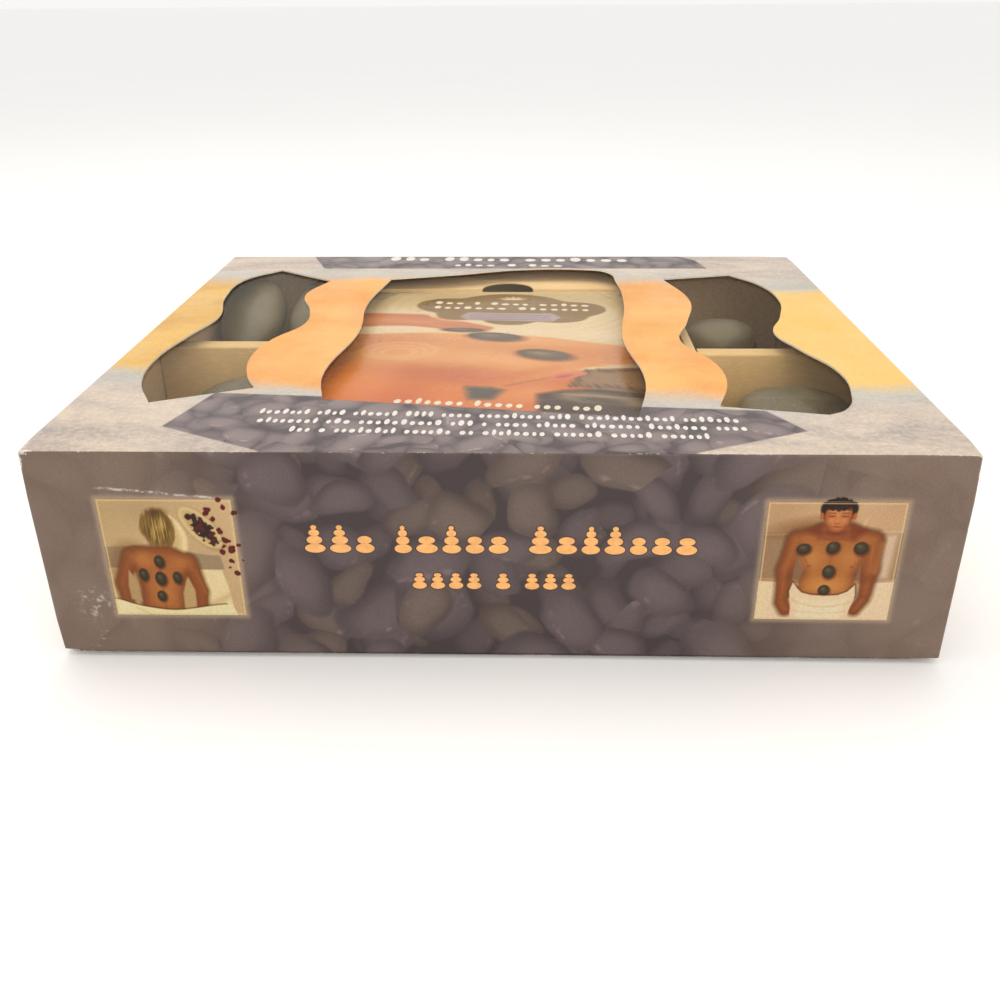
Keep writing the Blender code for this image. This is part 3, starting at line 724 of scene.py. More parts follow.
panel = melt(
    1.5, oval(x, y, 2, 60, 30, 19, -4), oval(x, y, 2, 70, 23, 13.5, -4), oval(x, y, -29, 63, 15, 12.5),
    oval(x, y, 33, 56, 15, 12.5), oval(x, y, -20, 47, 13, 9), oval(x, y, 25, 42, 13, 8.5),
    oval(x, y, 2, 38, 12, 8),
)
lay(picture, (236, 226, 196), np.abs(panel - 1.8) - 0.5, 0.9, 0.8)
lay(picture, (136, 110, 38), panel, 0.9)
lay(picture, (150, 124, 54), oval(x, y, 2, 66, 30, 10), 22, 0.5)
for angle in (-62, -31, 0, 31, 62):
    tip = math.radians(90 - angle)
    leaf = oval(x, y, 3 + 4.2 * math.cos(tip), 72.5 + 3.2 * math.sin(tip), 3.0, 1.0, 90 - angle)
    lay(picture, (236, 226, 196), leaf, 0.7)
band = patch(
    x, y, (-22, 44), (-18, 51), (2, 49.5), (22, 49), (26, 42.5), (22, 35.5), (2, 36.5), (-18, 38)
)
lay(picture, (176, 166, 182), band, 0.9)
for level in (46.6, 43.2, 39.8):
    line = patch(x, y, (-17, level + 0.5), (21, level - 1.0), (21, level - 1.9), (-17, level - 0.4))
    lay(picture, (104, 92, 116), line, 0.8, 0.6)
picture += (np.random.default_rng(11).random(picture.shape[:2])[..., None] - 0.5) * 0.012

cover_picture = painted_sheet(
    "book_cover_picture",
    (COVER_LOW.x, COVER_LOW.y, COVER_HIGH.z - COVER_SKIN / 2),
    (COVER_HIGH.x - COVER_LOW.x, 0.0, 0.0),
    (0.0, COVER_HIGH.y - COVER_LOW.y, 0.0),
    picture,
)
cover_picture.data.materials.append(
    picture_ink("cover_picture_ink", 0.30, (0.77, 0.63, 0.49), coat=0.1)
)
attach(cover_picture, "book_cover")

# The rows of small pebble marks that stand where a title would be: one flat oval on each point,
# made by one tree for the book and the box.
MARK_SIDES = 20
mark_rows = bpy.data.node_groups.new("Mark rows", "GeometryNodeTree")
for socket, kind, default in (
    ("Geometry", "NodeSocketGeometry", None),
    ("Grow", "NodeSocketFloat", 0.0),
    ("Ink", "NodeSocketMaterial", None),
):
    made = mark_rows.interface.new_socket(socket, in_out="INPUT", socket_type=kind)
    if default is not None:
        made.default_value = default
mark_rows.interface.new_socket("Geometry", in_out="OUTPUT", socket_type="NodeSocketGeometry")


def row_node(kind, inputs=None, **settings):
    """One node of the tree of mark rows."""
    node = mark_rows.nodes.new(kind)
    for key, value in settings.items():
        setattr(node, key, value)
    for key, value in (inputs or {}).items():
        if isinstance(value, bpy.types.NodeSocket):
            mark_rows.links.new(value, node.inputs[key])
        else:
            node.inputs[key].default_value = value
    return node


asked = row_node("NodeGroupInput").outputs
disc = {"Vertices": MARK_SIDES, "Radius Top": 0.0, "Radius Bottom": 0.5, "Depth": 0.0}
mark = row_node("GeometryNodeMeshCone", disc, fill_type="NONE").outputs["Mesh"]
size = row_node(
    "GeometryNodeInputNamedAttribute", {"Name": "size"}, data_type="FLOAT_VECTOR"
).outputs[0]
turn = row_node(
    "GeometryNodeInputNamedAttribute", {"Name": "turn"}, data_type="FLOAT_VECTOR"
).outputs[0]
size = row_node("ShaderNodeVectorMath", {0: size, 1: asked["Grow"]}, operation="ADD").outputs[0]
turn = row_node("FunctionNodeEulerToRotation", {0: turn}).outputs[0]
placed = {"Points": asked["Geometry"], "Instance": mark, "Rotation": turn, "Scale": size}
placed = row_node("GeometryNodeInstanceOnPoints", placed).outputs[0]
placed = row_node("GeometryNodeRealizeInstances", {0: placed}).outputs[0]
placed = row_node("GeometryNodeSetMaterial", {"Geometry": placed, "Material": asked["Ink"]}).outputs[0]
row_node("NodeGroupOutput", {0: placed})


def row_of_marks(name, marks, turn, ink, grow=0.0):
    """Marks as one mesh. Each is a place, a width and a height, with its own turn in its plane."""
    mesh = bpy.data.meshes.new(name)
    mesh.from_pydata([mark[0] for mark in marks], [], [])
    sizes = [(mark[1], mark[2], 0.0) for mark in marks]
    turns = [turn(mark[3]) for mark in marks]
    for attribute, values in (("size", sizes), ("turn", turns)):
        layer = mesh.attributes.new(attribute, "FLOAT_VECTOR", "POINT")
        layer.data.foreach_set("vector", np.array(values, np.float32).ravel())
    obj = bpy.data.objects.new(name, mesh)
    bpy.context.scene.collection.objects.link(obj)
    rows = obj.modifiers.new("rows", "NODES")
    rows.node_group = mark_rows
    for item in mark_rows.interface.items_tree:
        if item.in_out == "INPUT" and item.name in ("Grow", "Ink"):
            rows[item.identifier] = {"Grow": grow, "Ink": ink}[item.name]
    return plain_mesh(obj)


def flat_turn(angle):
    """A mark's turn when it lies flat, face up."""
    return (0.0, 0.0, angle)


def upright_turn(angle):
    """A mark's turn when it stands on the front wall, facing forward."""
    return (math.pi / 2, -angle, 0.0)


THIN_MARK = 0.88  # a mark's size against the room it has


def word_row(start, end, height, level, seed, words):
    """Marks in a row from start to end: small ovals close together, with a gap between words."""
    rng = np.random.default_rng(seed)
    run = Vector(end) - Vector(start)
    angle = math.atan2(run.y, run.x)
    widths = [rng.uniform(0.24, 0.36) * height for _ in range(sum(words))]
    gaps = [0.11 * height] * len(widths)
    last = -1
    for word in words[:-1]:
        last += word
        gaps[last] = 0.42 * height
    length = sum(widths) + sum(gaps[:-1])
    marks, at = [], 0.0
    for width, gap in zip(widths, gaps):
        tall = height * (1.0 if rng.random() < 0.25 else 0.68)
        middle = Vector(start) + run * ((at + width / 2) / length)
        lift = Vector((-math.sin(angle), math.cos(angle))) * (tall - height * 0.68) / 2
        fit = run.length / length
        marks.append(((*(middle + lift), level), width * fit * THIN_MARK, tall * THIN_MARK, angle))
        at += width + gap
    return marks


def mark_ink(name, colour, roughness=0.4):
    """Flat ink of one colour, a little uneven where it went on."""
    material, tree, shader, place = finish(name, roughness=roughness)
    uneven = noise(tree, place, 500.0, 3.0, 0.6)
    deep = tuple(value * 0.82 for value in colour)
    smudge = ramp(tree, uneven, 0.3, 0.7, roughness - 0.08, roughness + 0.08)
    colour = blend_colours(tree, ramp(tree, uneven, 0.3, 0.7), deep, colour)
    tree.links.new(colour, shader.inputs["Base Color"])
    tree.links.new(smudge, shader.inputs["Roughness"])
    return material


cream_ink = mark_ink("cream_ink", (0.76, 0.66, 0.48))
cover_marks = []
for seed, start, end, height, words in (
    (21, (-0.0355, 0.0672), (0.0405, 0.0622), 0.0054, (3, 1, 4, 5)),
    (22, (-0.0355, 0.0590), (0.0400, 0.0545), 0.0054, (7, 7)),
    (23, (-0.0402, -0.0680), (0.0377, -0.0760), 0.0068, (7, 5, 3, 3)),
):
    cover_marks += word_row(start, end, height, COVER_HIGH.z - 0.00001, seed, words)
cover_row = row_of_marks("book_cover_marks", cover_marks, flat_turn, cream_ink)
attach(cover_row, "book_cover")

# ---- Lid ----------------------------------------------------------------------------------------
# One sheet of white-lined board, 0.8 mm thick, printed outside, folded down on four sides and held
# by glued corner tabs. The three windows are die-cut, so their edges show the white of the board.
LID_LOW, LID_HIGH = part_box("lid")
BOARD = 0.0008
FOLD = 0.0013
INK = 0.00006  # the board's face lies this far inside the outermost print
WALL_BOW = 0.0006
CORNER_CRUSH = 0.0004
CRUSH_REACH = 0.005
DICE = 0.012
TAB_LENGTH = 0.025
TAB_GAP = 0.004


def window_outlines(node):
    """The edges of the windows in a CAD lid's top, each as its points in order."""
    bm = bmesh.new()
    bm.from_mesh(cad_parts[node].data)
    bmesh.ops.remove_doubles(bm, verts=bm.verts, dist=0.00001)
    onwards = {}
    for edge in bm.edges:
        ends = [vert.co for vert in edge.verts]
        on_top = all(co.z > LID_HIGH.z - 0.00001 for co in ends)
        inside = all(
            abs(co.x) < LID_HIGH.x - 2 * FOLD and abs(co.y) < LID_HIGH.y - 2 * FOLD for co in ends
        )
        upright = [abs(face.normal.z) < 0.1 for face in edge.link_faces]
        if on_top and inside and any(upright) and not all(upright):
            one, other = edge.verts
            onwards.setdefault(one.index, []).append(other.index)
            onwards.setdefault(other.index, []).append(one.index)
    bm.verts.ensure_lookup_table()
    outlines = []
    while onwards:
        loop = [next(iter(onwards))]
        while True:
            ahead = [index for index in onwards.pop(loop[-1]) if index in onwards]
            if not ahead:
                break
            loop.append(ahead[0])
        outlines.append([bm.verts[index].co.copy() for index in loop])
    bm.free()
    return outlines


def outline_solid(name, outline, low_z, high_z, corner=0.45):
    """A solid whose plan follows an outline smoothly, with a corner where it turns sharply."""
    curve = bpy.data.curves.new(name, "CURVE")
    curve.dimensions = "2D"
    curve.fill_mode = "BOTH"
    curve.extrude = (high_z - low_z) / 2
    curve.resolution_u = 4
    spline = curve.splines.new("BEZIER")
    spline.bezier_points.add(len(outline) - 1)
    spline.use_cyclic_u = True
    for n, point in enumerate(spline.bezier_points):
        before, here, after = outline[n - 1], outline[n], outline[(n + 1) % len(outline)]
        turned = (here - before).xy.angle((after - here).xy, 0.0)
        point.co = (here.x, here.y, 0.0)
        point.handle_left_type = point.handle_right_type = "VECTOR" if turned > corner else "AUTO"
    drawn = bpy.data.objects.new(name, curve)
    bpy.context.scene.collection.objects.link(drawn)
    mesh = bpy.data.meshes.new_from_object(drawn.evaluated_get(bpy.context.evaluated_depsgraph_get()))
    bpy.data.objects.remove(drawn)
    bm = bmesh.new()
    bm.from_mesh(mesh)
    bmesh.ops.remove_doubles(bm, verts=bm.verts, dist=0.000001)
    bmesh.ops.translate(bm, vec=(0.0, 0.0, (low_z + high_z) / 2), verts=bm.verts)
    bmesh.ops.recalc_face_normals(bm, faces=bm.faces)
    bm.to_mesh(mesh)
    bm.free()
    solid = bpy.data.objects.new(name, mesh)
    bpy.context.scene.collection.objects.link(solid)
    return solid


def folded_board(name, low, high):
    """An open-bottomed box of board with rounded folds, diced finely enough to bow."""
    bm = bmesh.new()
    bmesh.ops.create_cube(bm, size=1.0)
    low, high = low + Vector((INK, INK, 0.0)), high - Vector((INK, INK, INK))
    size = high - low
    bmesh.ops.transform(bm, matrix=Matrix.Diagonal((*size, 1.0)), verts=bm.verts)
    bmesh.ops.translate(bm, vec=(low + high) / 2, verts=bm.verts)
    bmesh.ops.delete(bm, geom=[face for face in bm.faces if face.normal.z < -0.5], context="FACES")
    folds = [edge for edge in bm.edges if not edge.is_boundary]
    bmesh.ops.bevel(bm, geom=folds, offset=FOLD, segments=4, profile=0.5, affect="EDGES")
    for axis in range(3):
        for n in range(1, round(size[axis] / DICE)):
            at = low.copy()
            at[axis] += n * DICE
            cut = bm.verts[:] + bm.edges[:] + bm.faces[:]
            normal = [float(axis == m) for m in range(3)]
            bmesh.ops.bisect_plane(bm, geom=cut, plane_co=at, plane_no=normal, dist=0.000001)
    mesh = bpy.data.meshes.new(name)
    bm.to_mesh(mesh)
    bm.free()
    obj = bpy.data.objects.new(name, mesh)
    bpy.context.scene.collection.objects.link(obj)
    sheet = obj.modifiers.new("board", "SOLIDIFY")
    sheet.thickness = BOARD - INK
    sheet.offset = -1.0
    sheet.use_even_offset = True
    return obj


def bow(obj):
    """Bends a piece with the lid: the walls bow in a little, and the corners are crushed."""
    points = np.array([vert.co for vert in obj.data.vertices], float)
    x, y, z = points.T
    down = np.clip((LID_HIGH.z - z) / (LID_HIGH.z - LID_LOW.z), 0.0, 1.0) ** 1.4
    on_end = np.clip((np.abs(y) / LID_HIGH.y - 0.97) / 0.02, 0.0, 1.0)
    on_side = np.clip((np.abs(x) / LID_HIGH.x - 0.97) / 0.02, 0.0, 1.0)
    wave = 1.0 + 0.35 * np.sin(x * 31.0 + 1.0) + 0.25 * np.sin(y * 27.0)
    moved = points.copy()
    moved[:, 1] -= np.sign(y) * on_end * WALL_BOW * np.cos(np.pi * x / (2 * LID_HIGH.x)) * down * wave
    moved[:, 0] -= np.sign(x) * on_side * WALL_BOW * np.cos(np.pi * y / (2 * LID_HIGH.y)) * down * wave
    for side, end, level, amount in (
        (-1, -1, LID_HIGH.z, 0.7),
        (1, -1, LID_HIGH.z, 1.0),
        (-1, -1, LID_LOW.z, 0.9),
        (1, 1, LID_HIGH.z, 0.8),
        (-1, 1, LID_LOW.z, 0.6),
    ):
        away = points - np.array([side * LID_HIGH.x, end * LID_HIGH.y, level])
        near = np.exp(-((np.linalg.norm(away, axis=1) / CRUSH_REACH) ** 2))
        inwards = np.array([-side, -end, 1.0 if level == LID_LOW.z else -1.0])
        moved += near[:, None] * inwards * CORNER_CRUSH * amount
    obj.data.vertices.foreach_set("co", moved.ravel())
    obj.data.update()


# The top's print of pale sandstone: fine grit with long soft veins.
sandstone, given, result = node_group("Sandstone print", {"Place": (0.0, 0.0, 0.0)}, {"Color": "Color"})
veins = stretch(sandstone, given["Place"], (14.0, 34.0, 34.0), (0, 0, 0.5))
veins = noise(sandstone, veins, 1.0, 6.0, 0.6, 1.2)
grit = noise(sandstone, given["Place"], 420.0, 4.0, 0.7)
pale = blend_colours(
    sandstone, ramp(sandstone, veins, 0.30, 0.72), (0.33, 0.275, 0.25), (0.58, 0.47, 0.365)
)
pale = blend_colours(sandstone, ramp(sandstone, grit, 0.35, 0.75, 0.0, 0.5), pale, (0.68, 0.59, 0.49))
sandstone.links.new(pale, result["Color"])

# Where the top's print changes, in plan: the dark panels of pebbles, and the coloured bands' ends,
# which run forward a little towards the right.
FRONT_PANEL = (
    (-0.072, -0.1345), (0.060, -0.1345), (0.102, -0.1150),
    (0.092, -0.0970), (-0.103, -0.0810), (-0.112, -0.1130),
)
REAR_PANEL = ((-0.0970, 0.1050), (0.104, 0.1050), (0.100, 0.1240), (0.090, 0.1345), (-0.1080, 0.1345))
BAND_SLANT = 0.06
PEACH_END = (-0.083, 0.084)
YELLOW_END = (-0.068, 0.074)


def panel_mask(tree, place, corners, blur):
    """1 inside a convex panel in plan, given anticlockwise, and 0 outside."""
    inside = 1.0
    for (x, y), (next_x, next_y) in zip(corners, corners[1:] + corners[:1]):
        normal = Vector((y - next_y, next_x - x, 0.0)).normalized()
        depth = vectors(tree, "DOT_PRODUCT", place, tuple(normal))
        edge = normal.x * x + normal.y * y
        inside = calc(tree, "MULTIPLY", inside, ramp(tree, depth, edge - blur, edge + blur))
    return inside


def golden_band(tree, colour, distance, half, tint, here=1.0):
    """A coloured band over sandstone, with a cool grey-green fringe where it fades out."""
    cool = blend_colours(tree, 0.55, colour, (0.42, 0.46, 0.43))
    fringe = calc(tree, "MULTIPLY", ramp(tree, distance, half - 0.002, half + 0.024, 1.0, 0.0), here)
    band = calc(tree, "MULTIPLY", ramp(tree, distance, half - 0.012, half + 0.006, 1.0, 0.0), here)
    return blend_colours(tree, band, blend_colours(tree, fringe, colour, cool), tint)


def top_picture(tree, place):
    """Sandstone borders, golden and peach bands, and a dark panel of pebbles at the front and back."""
    axes = add(tree, "SeparateXYZ", {0: place}).outputs
    wander = calc(tree, "SUBTRACT", noise(tree, place, 40.0, 3.0), 0.5)
    along = calc(tree, "MULTIPLY_ADD", wander, 0.022, axes[1])
    along = calc(tree, "MULTIPLY_ADD", axes[0], BAND_SLANT, along)
    stone = use_group(tree, sandstone, Place=place)["Color"]
    cloud = ramp(tree, noise(tree, place, 28.0, 5.0, 0.6), 0.3, 0.7)
    # Painted light: the yellow band grows lighter towards the right, as if the light fell on it from
    # that side.
    painted_light_to_right = ramp(tree, axes[0], -0.12, 0.12)
    yellow = blend_colours(tree, painted_light_to_right, (0.56, 0.295, 0.050), (0.76, 0.46, 0.10))
    yellow = blend_colours(tree, calc(tree, "MULTIPLY", cloud, 0.6), yellow, (0.80, 0.52, 0.14))
    peach = blend_colours(tree, cloud, (0.70, 0.30, 0.058), (0.82, 0.425, 0.115))
    outer = ramp(tree, calc(tree, "ABSOLUTE", axes[0]), 0.108, 0.116)
    inner = calc(tree, "SUBTRACT", 1.0, outer)
    for ends, tint, here in ((PEACH_END, peach, inner), (YELLOW_END, yellow, outer)):
        distance = calc(tree, "ABSOLUTE", calc(tree, "SUBTRACT", along, sum(ends) / 2))
        stone = golden_band(tree, stone, distance, (ends[1] - ends[0]) / 2, tint, here)
    pebbles = use_group(tree, pebble_print, Place=place, Pebble_size=0.012)
    dark = blend_colours(tree, pebbles["Shade"], (0.064, 0.048, 0.052), (0.31, 0.245, 0.232))
    for corners in (FRONT_PANEL, REAR_PANEL):
        stone = blend_colours(tree, panel_mask(tree, place, corners, 0.0006), stone, dark)
    return stone, 0.0


# The front wall's wear: where its scratch has its middle, across and up, and where it is rubbed.
SCRATCH_AT = (-0.1095, 0.0543)
RUBBED_AT = (-0.1375, -LID_HIGH.y, 0.0215)
# The two small pictures on the front wall are squares; the print glows softly round each.
PICTURE_SIZE = 0.0445
GLOW = 0.0034
LEFT_PICTURE_AT = (-0.1300, 0.0175)
RIGHT_PICTURE_AT = (0.0872, 0.0178)


def glow_mask(tree, place, low):
    """How strongly the print glows at each point round a square picture whose low corner is given."""
    half = PICTURE_SIZE / 2
    off = vectors(tree, "SUBTRACT", place, (low[0] + half, 0.0, low[1] + half))
    off = vectors(tree, "MULTIPLY", vectors(tree, "ABSOLUTE", off), (1.0, 0.0, 1.0))
    off = vectors(tree, "SUBTRACT", off, (half, 0.0, half))
    away = vectors(tree, "LENGTH", vectors(tree, "MAXIMUM", off, (0.0, 0.0, 0.0)))
    near = ramp(tree, away, 0.0, GLOW * 0.85, 1.0, 0.0)
    return calc(tree, "MULTIPLY", calc(tree, "MULTIPLY", near, near), 0.5)


def wall_picture(tree, place):
    """The pebble picture of the front and back walls, glowing round the front's two small pictures."""
    outputs = use_group(tree, wall_print, Place=plan_place(tree, place, 0, 2))
    axes = add(tree, "SeparateXYZ", {0: place}).outputs
    colour = outputs["Color"]
    in_front = calc(tree, "LESS_THAN", axes[1], 0.0)
    for low in (LEFT_PICTURE_AT, RIGHT_PICTURE_AT):
        glow = calc(tree, "MULTIPLY", glow_mask(tree, place, low), in_front)
        colour = blend_colours(tree, glow, colour, (0.42, 0.31, 0.20))
    wobble = calc(tree, "MULTIPLY_ADD", noise(tree, place, 150.0, 4.0, 0.7), 0.0022, -0.0011)
    slope = calc(tree, "MULTIPLY_ADD", axes[0], 0.09, calc(tree, "ADD", axes[2], wobble))
    off = calc(tree, "ABSOLUTE", calc(tree, "SUBTRACT", slope, SCRATCH_AT[1]))
    scratch = ramp(tree, off, 0.0001, 0.0007, 1.0, 0.0)
    off = calc(tree, "ABSOLUTE", calc(tree, "SUBTRACT", axes[0], SCRATCH_AT[0]))
    scratch = calc(tree, "MULTIPLY", scratch, ramp(tree, off, 0.017, 0.021, 1.0, 0.0))
    away = vectors(tree, "LENGTH", vectors(tree, "SUBTRACT", place, RUBBED_AT))
    rubbed = ramp(tree, noise(tree, place, 330.0, 4.0, 0.7), 0.48, 0.60)
    rubbed = calc(tree, "MULTIPLY", ramp(tree, away, 0.002, 0.009, 1.0, 0.0), rubbed)
    marks = calc(tree, "MULTIPLY", calc(tree, "ADD", scratch, rubbed), in_front)
    broken = ramp(tree, noise(tree, place, 420.0, 3.0, 0.7), 0.40, 0.62, 0.0, 0.7)
    marks = calc(tree, "MULTIPLY", marks, broken)
    return colour, calc(tree, "MAXIMUM", outputs["Scuff"], marks)


def side_picture(tree, place):
    """The side walls carry on the top's sandstone, with a golden band in the middle."""
    axes = add(tree, "SeparateXYZ", {0: place}).outputs
    stone = use_group(tree, sandstone, Place=place)["Color"]
    wander = calc(tree, "SUBTRACT", noise(tree, place, 40.0, 3.0), 0.5)
    distance = calc(tree, "ABSOLUTE", calc(tree, "MULTIPLY_ADD", wander, 0.03, axes[1]))
    yellow = blend_colours(tree, noise(tree, place, 28.0, 5.0), (0.72, 0.41, 0.10), (0.82, 0.57, 0.20))
    stone = golden_band(tree, stone, distance, (YELLOW_END[1] - YELLOW_END[0]) / 2, yellow)
    scuff = use_group(tree, wall_print, Place=plan_place(tree, place, 1, 2))["Scuff"]
    return blend_colours(tree, 1.0, stone, (0.80, 0.77, 0.76), "MULTIPLY"), scuff


def bare_board_material(name):
    """The board's unprinted face and its cut edges."""
    material, tree, shader, place = finish(name, roughness=0.85)
    outputs = use_group(tree, bare_board, Place=place)
    tree.links.new(outputs["Color"], shader.inputs["Base Color"])
    emboss(tree, shader, outputs["Height"], 0.25, 0.0001)
    return material


lid = folded_board("printed_lid", LID_LOW, LID_HIGH)
cutters = [
    outline_solid("window_cutter", outline, LID_HIGH.z - 0.01, LID_HIGH.z + 0.01)
    for outline in window_outlines("lid")
]
for cutter in cutters:
    cut = lid.modifiers.new("window", "BOOLEAN")
    cut.operation = "DIFFERENCE"
    cut.object = cutter
plain_mesh(lid)
for cutter in cutters:
    bpy.data.objects.remove(cutter)
half = (LID_HIGH.x, LID_HIGH.y)
lid.data.materials.clear()
lid.data.materials.append(bare_board_material("bare_lid_board"))
lid.data.materials.append(printed("top_print", top_picture, half, LID_HIGH.z))
lid.data.materials.append(printed("pebble_wall_print", wall_picture, half, LID_HIGH.z))
lid.data.materials.append(printed("sandstone_side_print", side_picture, half, LID_HIGH.z))
for face in lid.data.polygons:
    centre, normal = face.center, face.normal
    outward = [
        normal.z if centre.z > LID_HIGH.z - FOLD - INK else -1.0,
        normal.y * math.copysign(1.0, centre.y) if abs(centre.y) > LID_HIGH.y - FOLD - INK else -1.0,
        normal.x * math.copysign(1.0, centre.x) if abs(centre.x) > LID_HIGH.x - FOLD - INK else -1.0,
    ]
    face.material_index = outward.index(max(outward)) + 1 if max(outward) > 0.5 else 0

tabs = bmesh.new()
tabs.from_mesh(lid.data)
for side in (-1, 1):
    for end in (-1, 1):
        size = Vector((TAB_LENGTH, BOARD, LID_HIGH.z - LID_LOW.z - BOARD - 2 * TAB_GAP))
        middle = Vector((
            side * (LID_HIGH.x - BOARD - TAB_LENGTH / 2), end * (LID_HIGH.y - 1.5 * BOARD),
            LID_LOW.z + TAB_GAP + size.z / 2,
        ))
        made = bmesh.ops.create_cube(tabs, size=1.0)["verts"]
        bmesh.ops.transform(tabs, matrix=Matrix.Diagonal((*size, 1.0)), verts=made)
        bmesh.ops.translate(tabs, vec=middle, verts=made)
        for vert in made:
            if (vert.co.x - middle.x) * side < 0:
                vert.co.z += (middle.z - vert.co.z) * 0.12
tabs.to_mesh(lid.data)
tabs.free()
lid.data.shade_smooth()
lid.data.set_sharp_from_angle(angle=math.radians(32))
bow(lid)
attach(lid, "lid")
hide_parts("lid")

# ---- Window film --------------------------------------------------------------------------------
# One sheet of thin clear film glued under the lid behind all three windows. It isn't quite flat, so
# reflections wander over it, and it has faint handling streaks.
film_material, tree, shader, place = finish("clear_film", (1.0, 0.92, 0.76), 0.07, Metallic=1.0)
waves = noise(tree, stretch(tree, place, (9.0, 14.0, 1.0), (0, 0, 0.4)), 1.0, 2.0, 0.5, 0.6)
streaks = noise(tree, stretch(tree, place, (22.0, 130.0, 1.0), (0, 0, 0.9)), 1.0, 5.0, 0.7)
gloss = calc(tree, "POWER", add(tree, "LayerWeight", {"Blend": 0.5}).outputs["Facing"], 4.0)
haze = ramp(tree, streaks, 0.5, 0.8, 0.003, 0.030)
taut = ramp(tree, add(tree, "SeparateXYZ", {0: place}).outputs[0], -0.12, -0.05, 0.15, 0.075)
tree.links.new(calc(tree, "MULTIPLY_ADD", gloss, taut, haze), shader.inputs["Alpha"])
tree.links.new(ramp(tree, streaks, 0.45, 0.8, 0.05, 0.16), shader.inputs["Roughness"])
emboss(tree, shader, waves, 0.35, 0.004)
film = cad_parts["window_film"]
film.data.materials.clear()
film.data.materials.append(film_material)

# ---- Pictures on the front wall -----------------------------------------------------------------
# Two small printed pictures, one near each end: a person's back with five stones on it, and a
# resting person with stones on the chest. Each has a thin pale frame, which petals or hair overlap.
PICTURE_CELL = 0.00022
ON_FRONT = -LID_HIGH.y + INK * 0.5


def blank_picture():
    """A picture's points from 0 to 1 both ways, with a margin round it, and how far out each is."""
    cells = round((PICTURE_SIZE + 2 * GLOW) / PICTURE_CELL) + 1
    reach = GLOW / PICTURE_SIZE
    line = np.linspace(-reach, 1.0 + reach, cells)
    x, y = np.meshgrid(line, line)
    out_x, out_y = np.abs(x - 0.5) - 0.5, np.abs(y - 0.5) - 0.5
    beyond = np.hypot(np.maximum(out_x, 0), np.maximum(out_y, 0))
    outside = beyond + np.minimum(np.maximum(out_x, out_y), 0)
    return x, y, outside, np.empty((cells, cells, 3))


def framed(picture, outside, extra):
    """Adds the pale frame, and gives what shows: all inside it, and what overlaps it outside."""
    lay(picture, (232, 210, 176), np.abs(outside + 0.012) - 0.004, 0.008, 0.85)
    return np.maximum(np.where(outside > 0.0, 0.0, 1.0), np.clip(0.5 - extra / 0.01, 0.0, 1.0))


x, y, outside, picture = blank_picture()
picture[:] = np.array((194, 174, 140)) / 255.0
picture += np.clip(x, 0, 1)[..., None] * (0.06, 0.05, 0.06)
picture += ((drift_over(x, y, 0.25, 31) - 0.5) * 0.05)[..., None]
lay(
    picture, (168, 152, 130),
    patch(x, y, (-0.2, 0.59), (0.25, 0.61), (0.8, 0.53), (0.86, 0.53), (0.88, 0.41), (-0.2, 0.43)),
    0.012,
)
edge = np.abs(y - 0.425 + 0.02 * x) - 0.004 + np.maximum(x - 0.86, 0)
lay(picture, (140, 116, 88), edge, 0.012, 0.6)
lay(
    picture, (234, 222, 188),
    patch(x, y, (-0.2, 0.42), (0.86, 0.405), (0.90, 0.2), (0.92, -0.2), (-0.2, -0.2)), 0.015,
)
lay(
    picture, (186, 164, 128), patch(x, y, (-0.2, 0.42), (0.16, 0.42), (0.2, 0.12), (-0.2, 0.12)), 0.05,
    0.6,
)
lay(picture, (196, 172, 128), limb(x, y, (0.74, 0.10, 0.01), (0.9, 0.18, 0.02)), 0.05, 0.6)
lay(picture, (236, 222, 184), oval(x, y, 0.50, 0.70, 0.125, 0.19, 18), 0.02)
lay(picture, (206, 186, 142), oval(x, y, 0.47, 0.70, 0.11, 0.18, 14), 0.04, 0.8)
lay(picture, (150, 122, 84), oval(x, y, 0.755, 0.755, 0.215, 0.098, -52), 0.03, 0.5)
lay(picture, (218, 202, 160), oval(x, y, 0.745, 0.765, 0.21, 0.094, -52), 0.012)
lay(picture, (188, 166, 122), oval(x, y, 0.745, 0.765, 0.165, 0.062, -52), 0.02, 0.7)
petals = drift_over(x, y, 0.022, 33)
bowlful = oval(x, y, 0.765, 0.745, 0.135, 0.058, -52) + 0.05 * (petals - 0.5)
lay(picture, (66, 36, 28), bowlful, 0.012)
lay(picture, (112, 52, 40), bowlful + 0.09 * petals, 0.02, 0.8)
lay(picture, (70, 30, 26), oval(x, y, 0.665, 0.855, 0.022, 0.026), 0.01)
lay(picture, (120, 72, 32), oval(x, y, 0.20, 0.35, 0.19, 0.30, 6), 0.06, 0.28)
torso = patch(
    x, y, (0.17, 0.545), (0.22, 0.598), (0.35, 0.602), (0.49, 0.60), (0.58, 0.552), (0.645, 0.52),
    (0.64, 0.44), (0.578, 0.332), (0.533, 0.198), (0.524, 0.03), (0.206, 0.03), (0.222, 0.243),
    (0.209, 0.377), (0.15, 0.45),
)
left_arm = melt(
    0.01, limb(x, y, (0.185, 0.525, 0.06), (0.085, 0.285, 0.046)),
    limb(x, y, (0.085, 0.27, 0.045), (0.10, 0.10, 0.042)),
)
right_arm = melt(
    0.01, limb(x, y, (0.62, 0.475, 0.06), (0.675, 0.22, 0.047)),
    limb(x, y, (0.675, 0.22, 0.047), (0.665, 0.03, 0.042)),
)
body = melt(0.010, torso, left_arm, right_arm)
lay(picture, (96, 58, 28), body - 0.012, 0.035, 0.65)
lay(picture, (146, 92, 50), body, 0.010)
lay(picture, (170, 112, 66), body + 0.045, 0.06, 0.9)
lay(picture, (194, 136, 82), oval(x, y, 0.40, 0.22, 0.10, 0.20), 0.12, 0.8)
lay(picture, (196, 138, 84), oval(x, y, 0.28, 0.49, 0.07, 0.06), 0.08, 0.8)
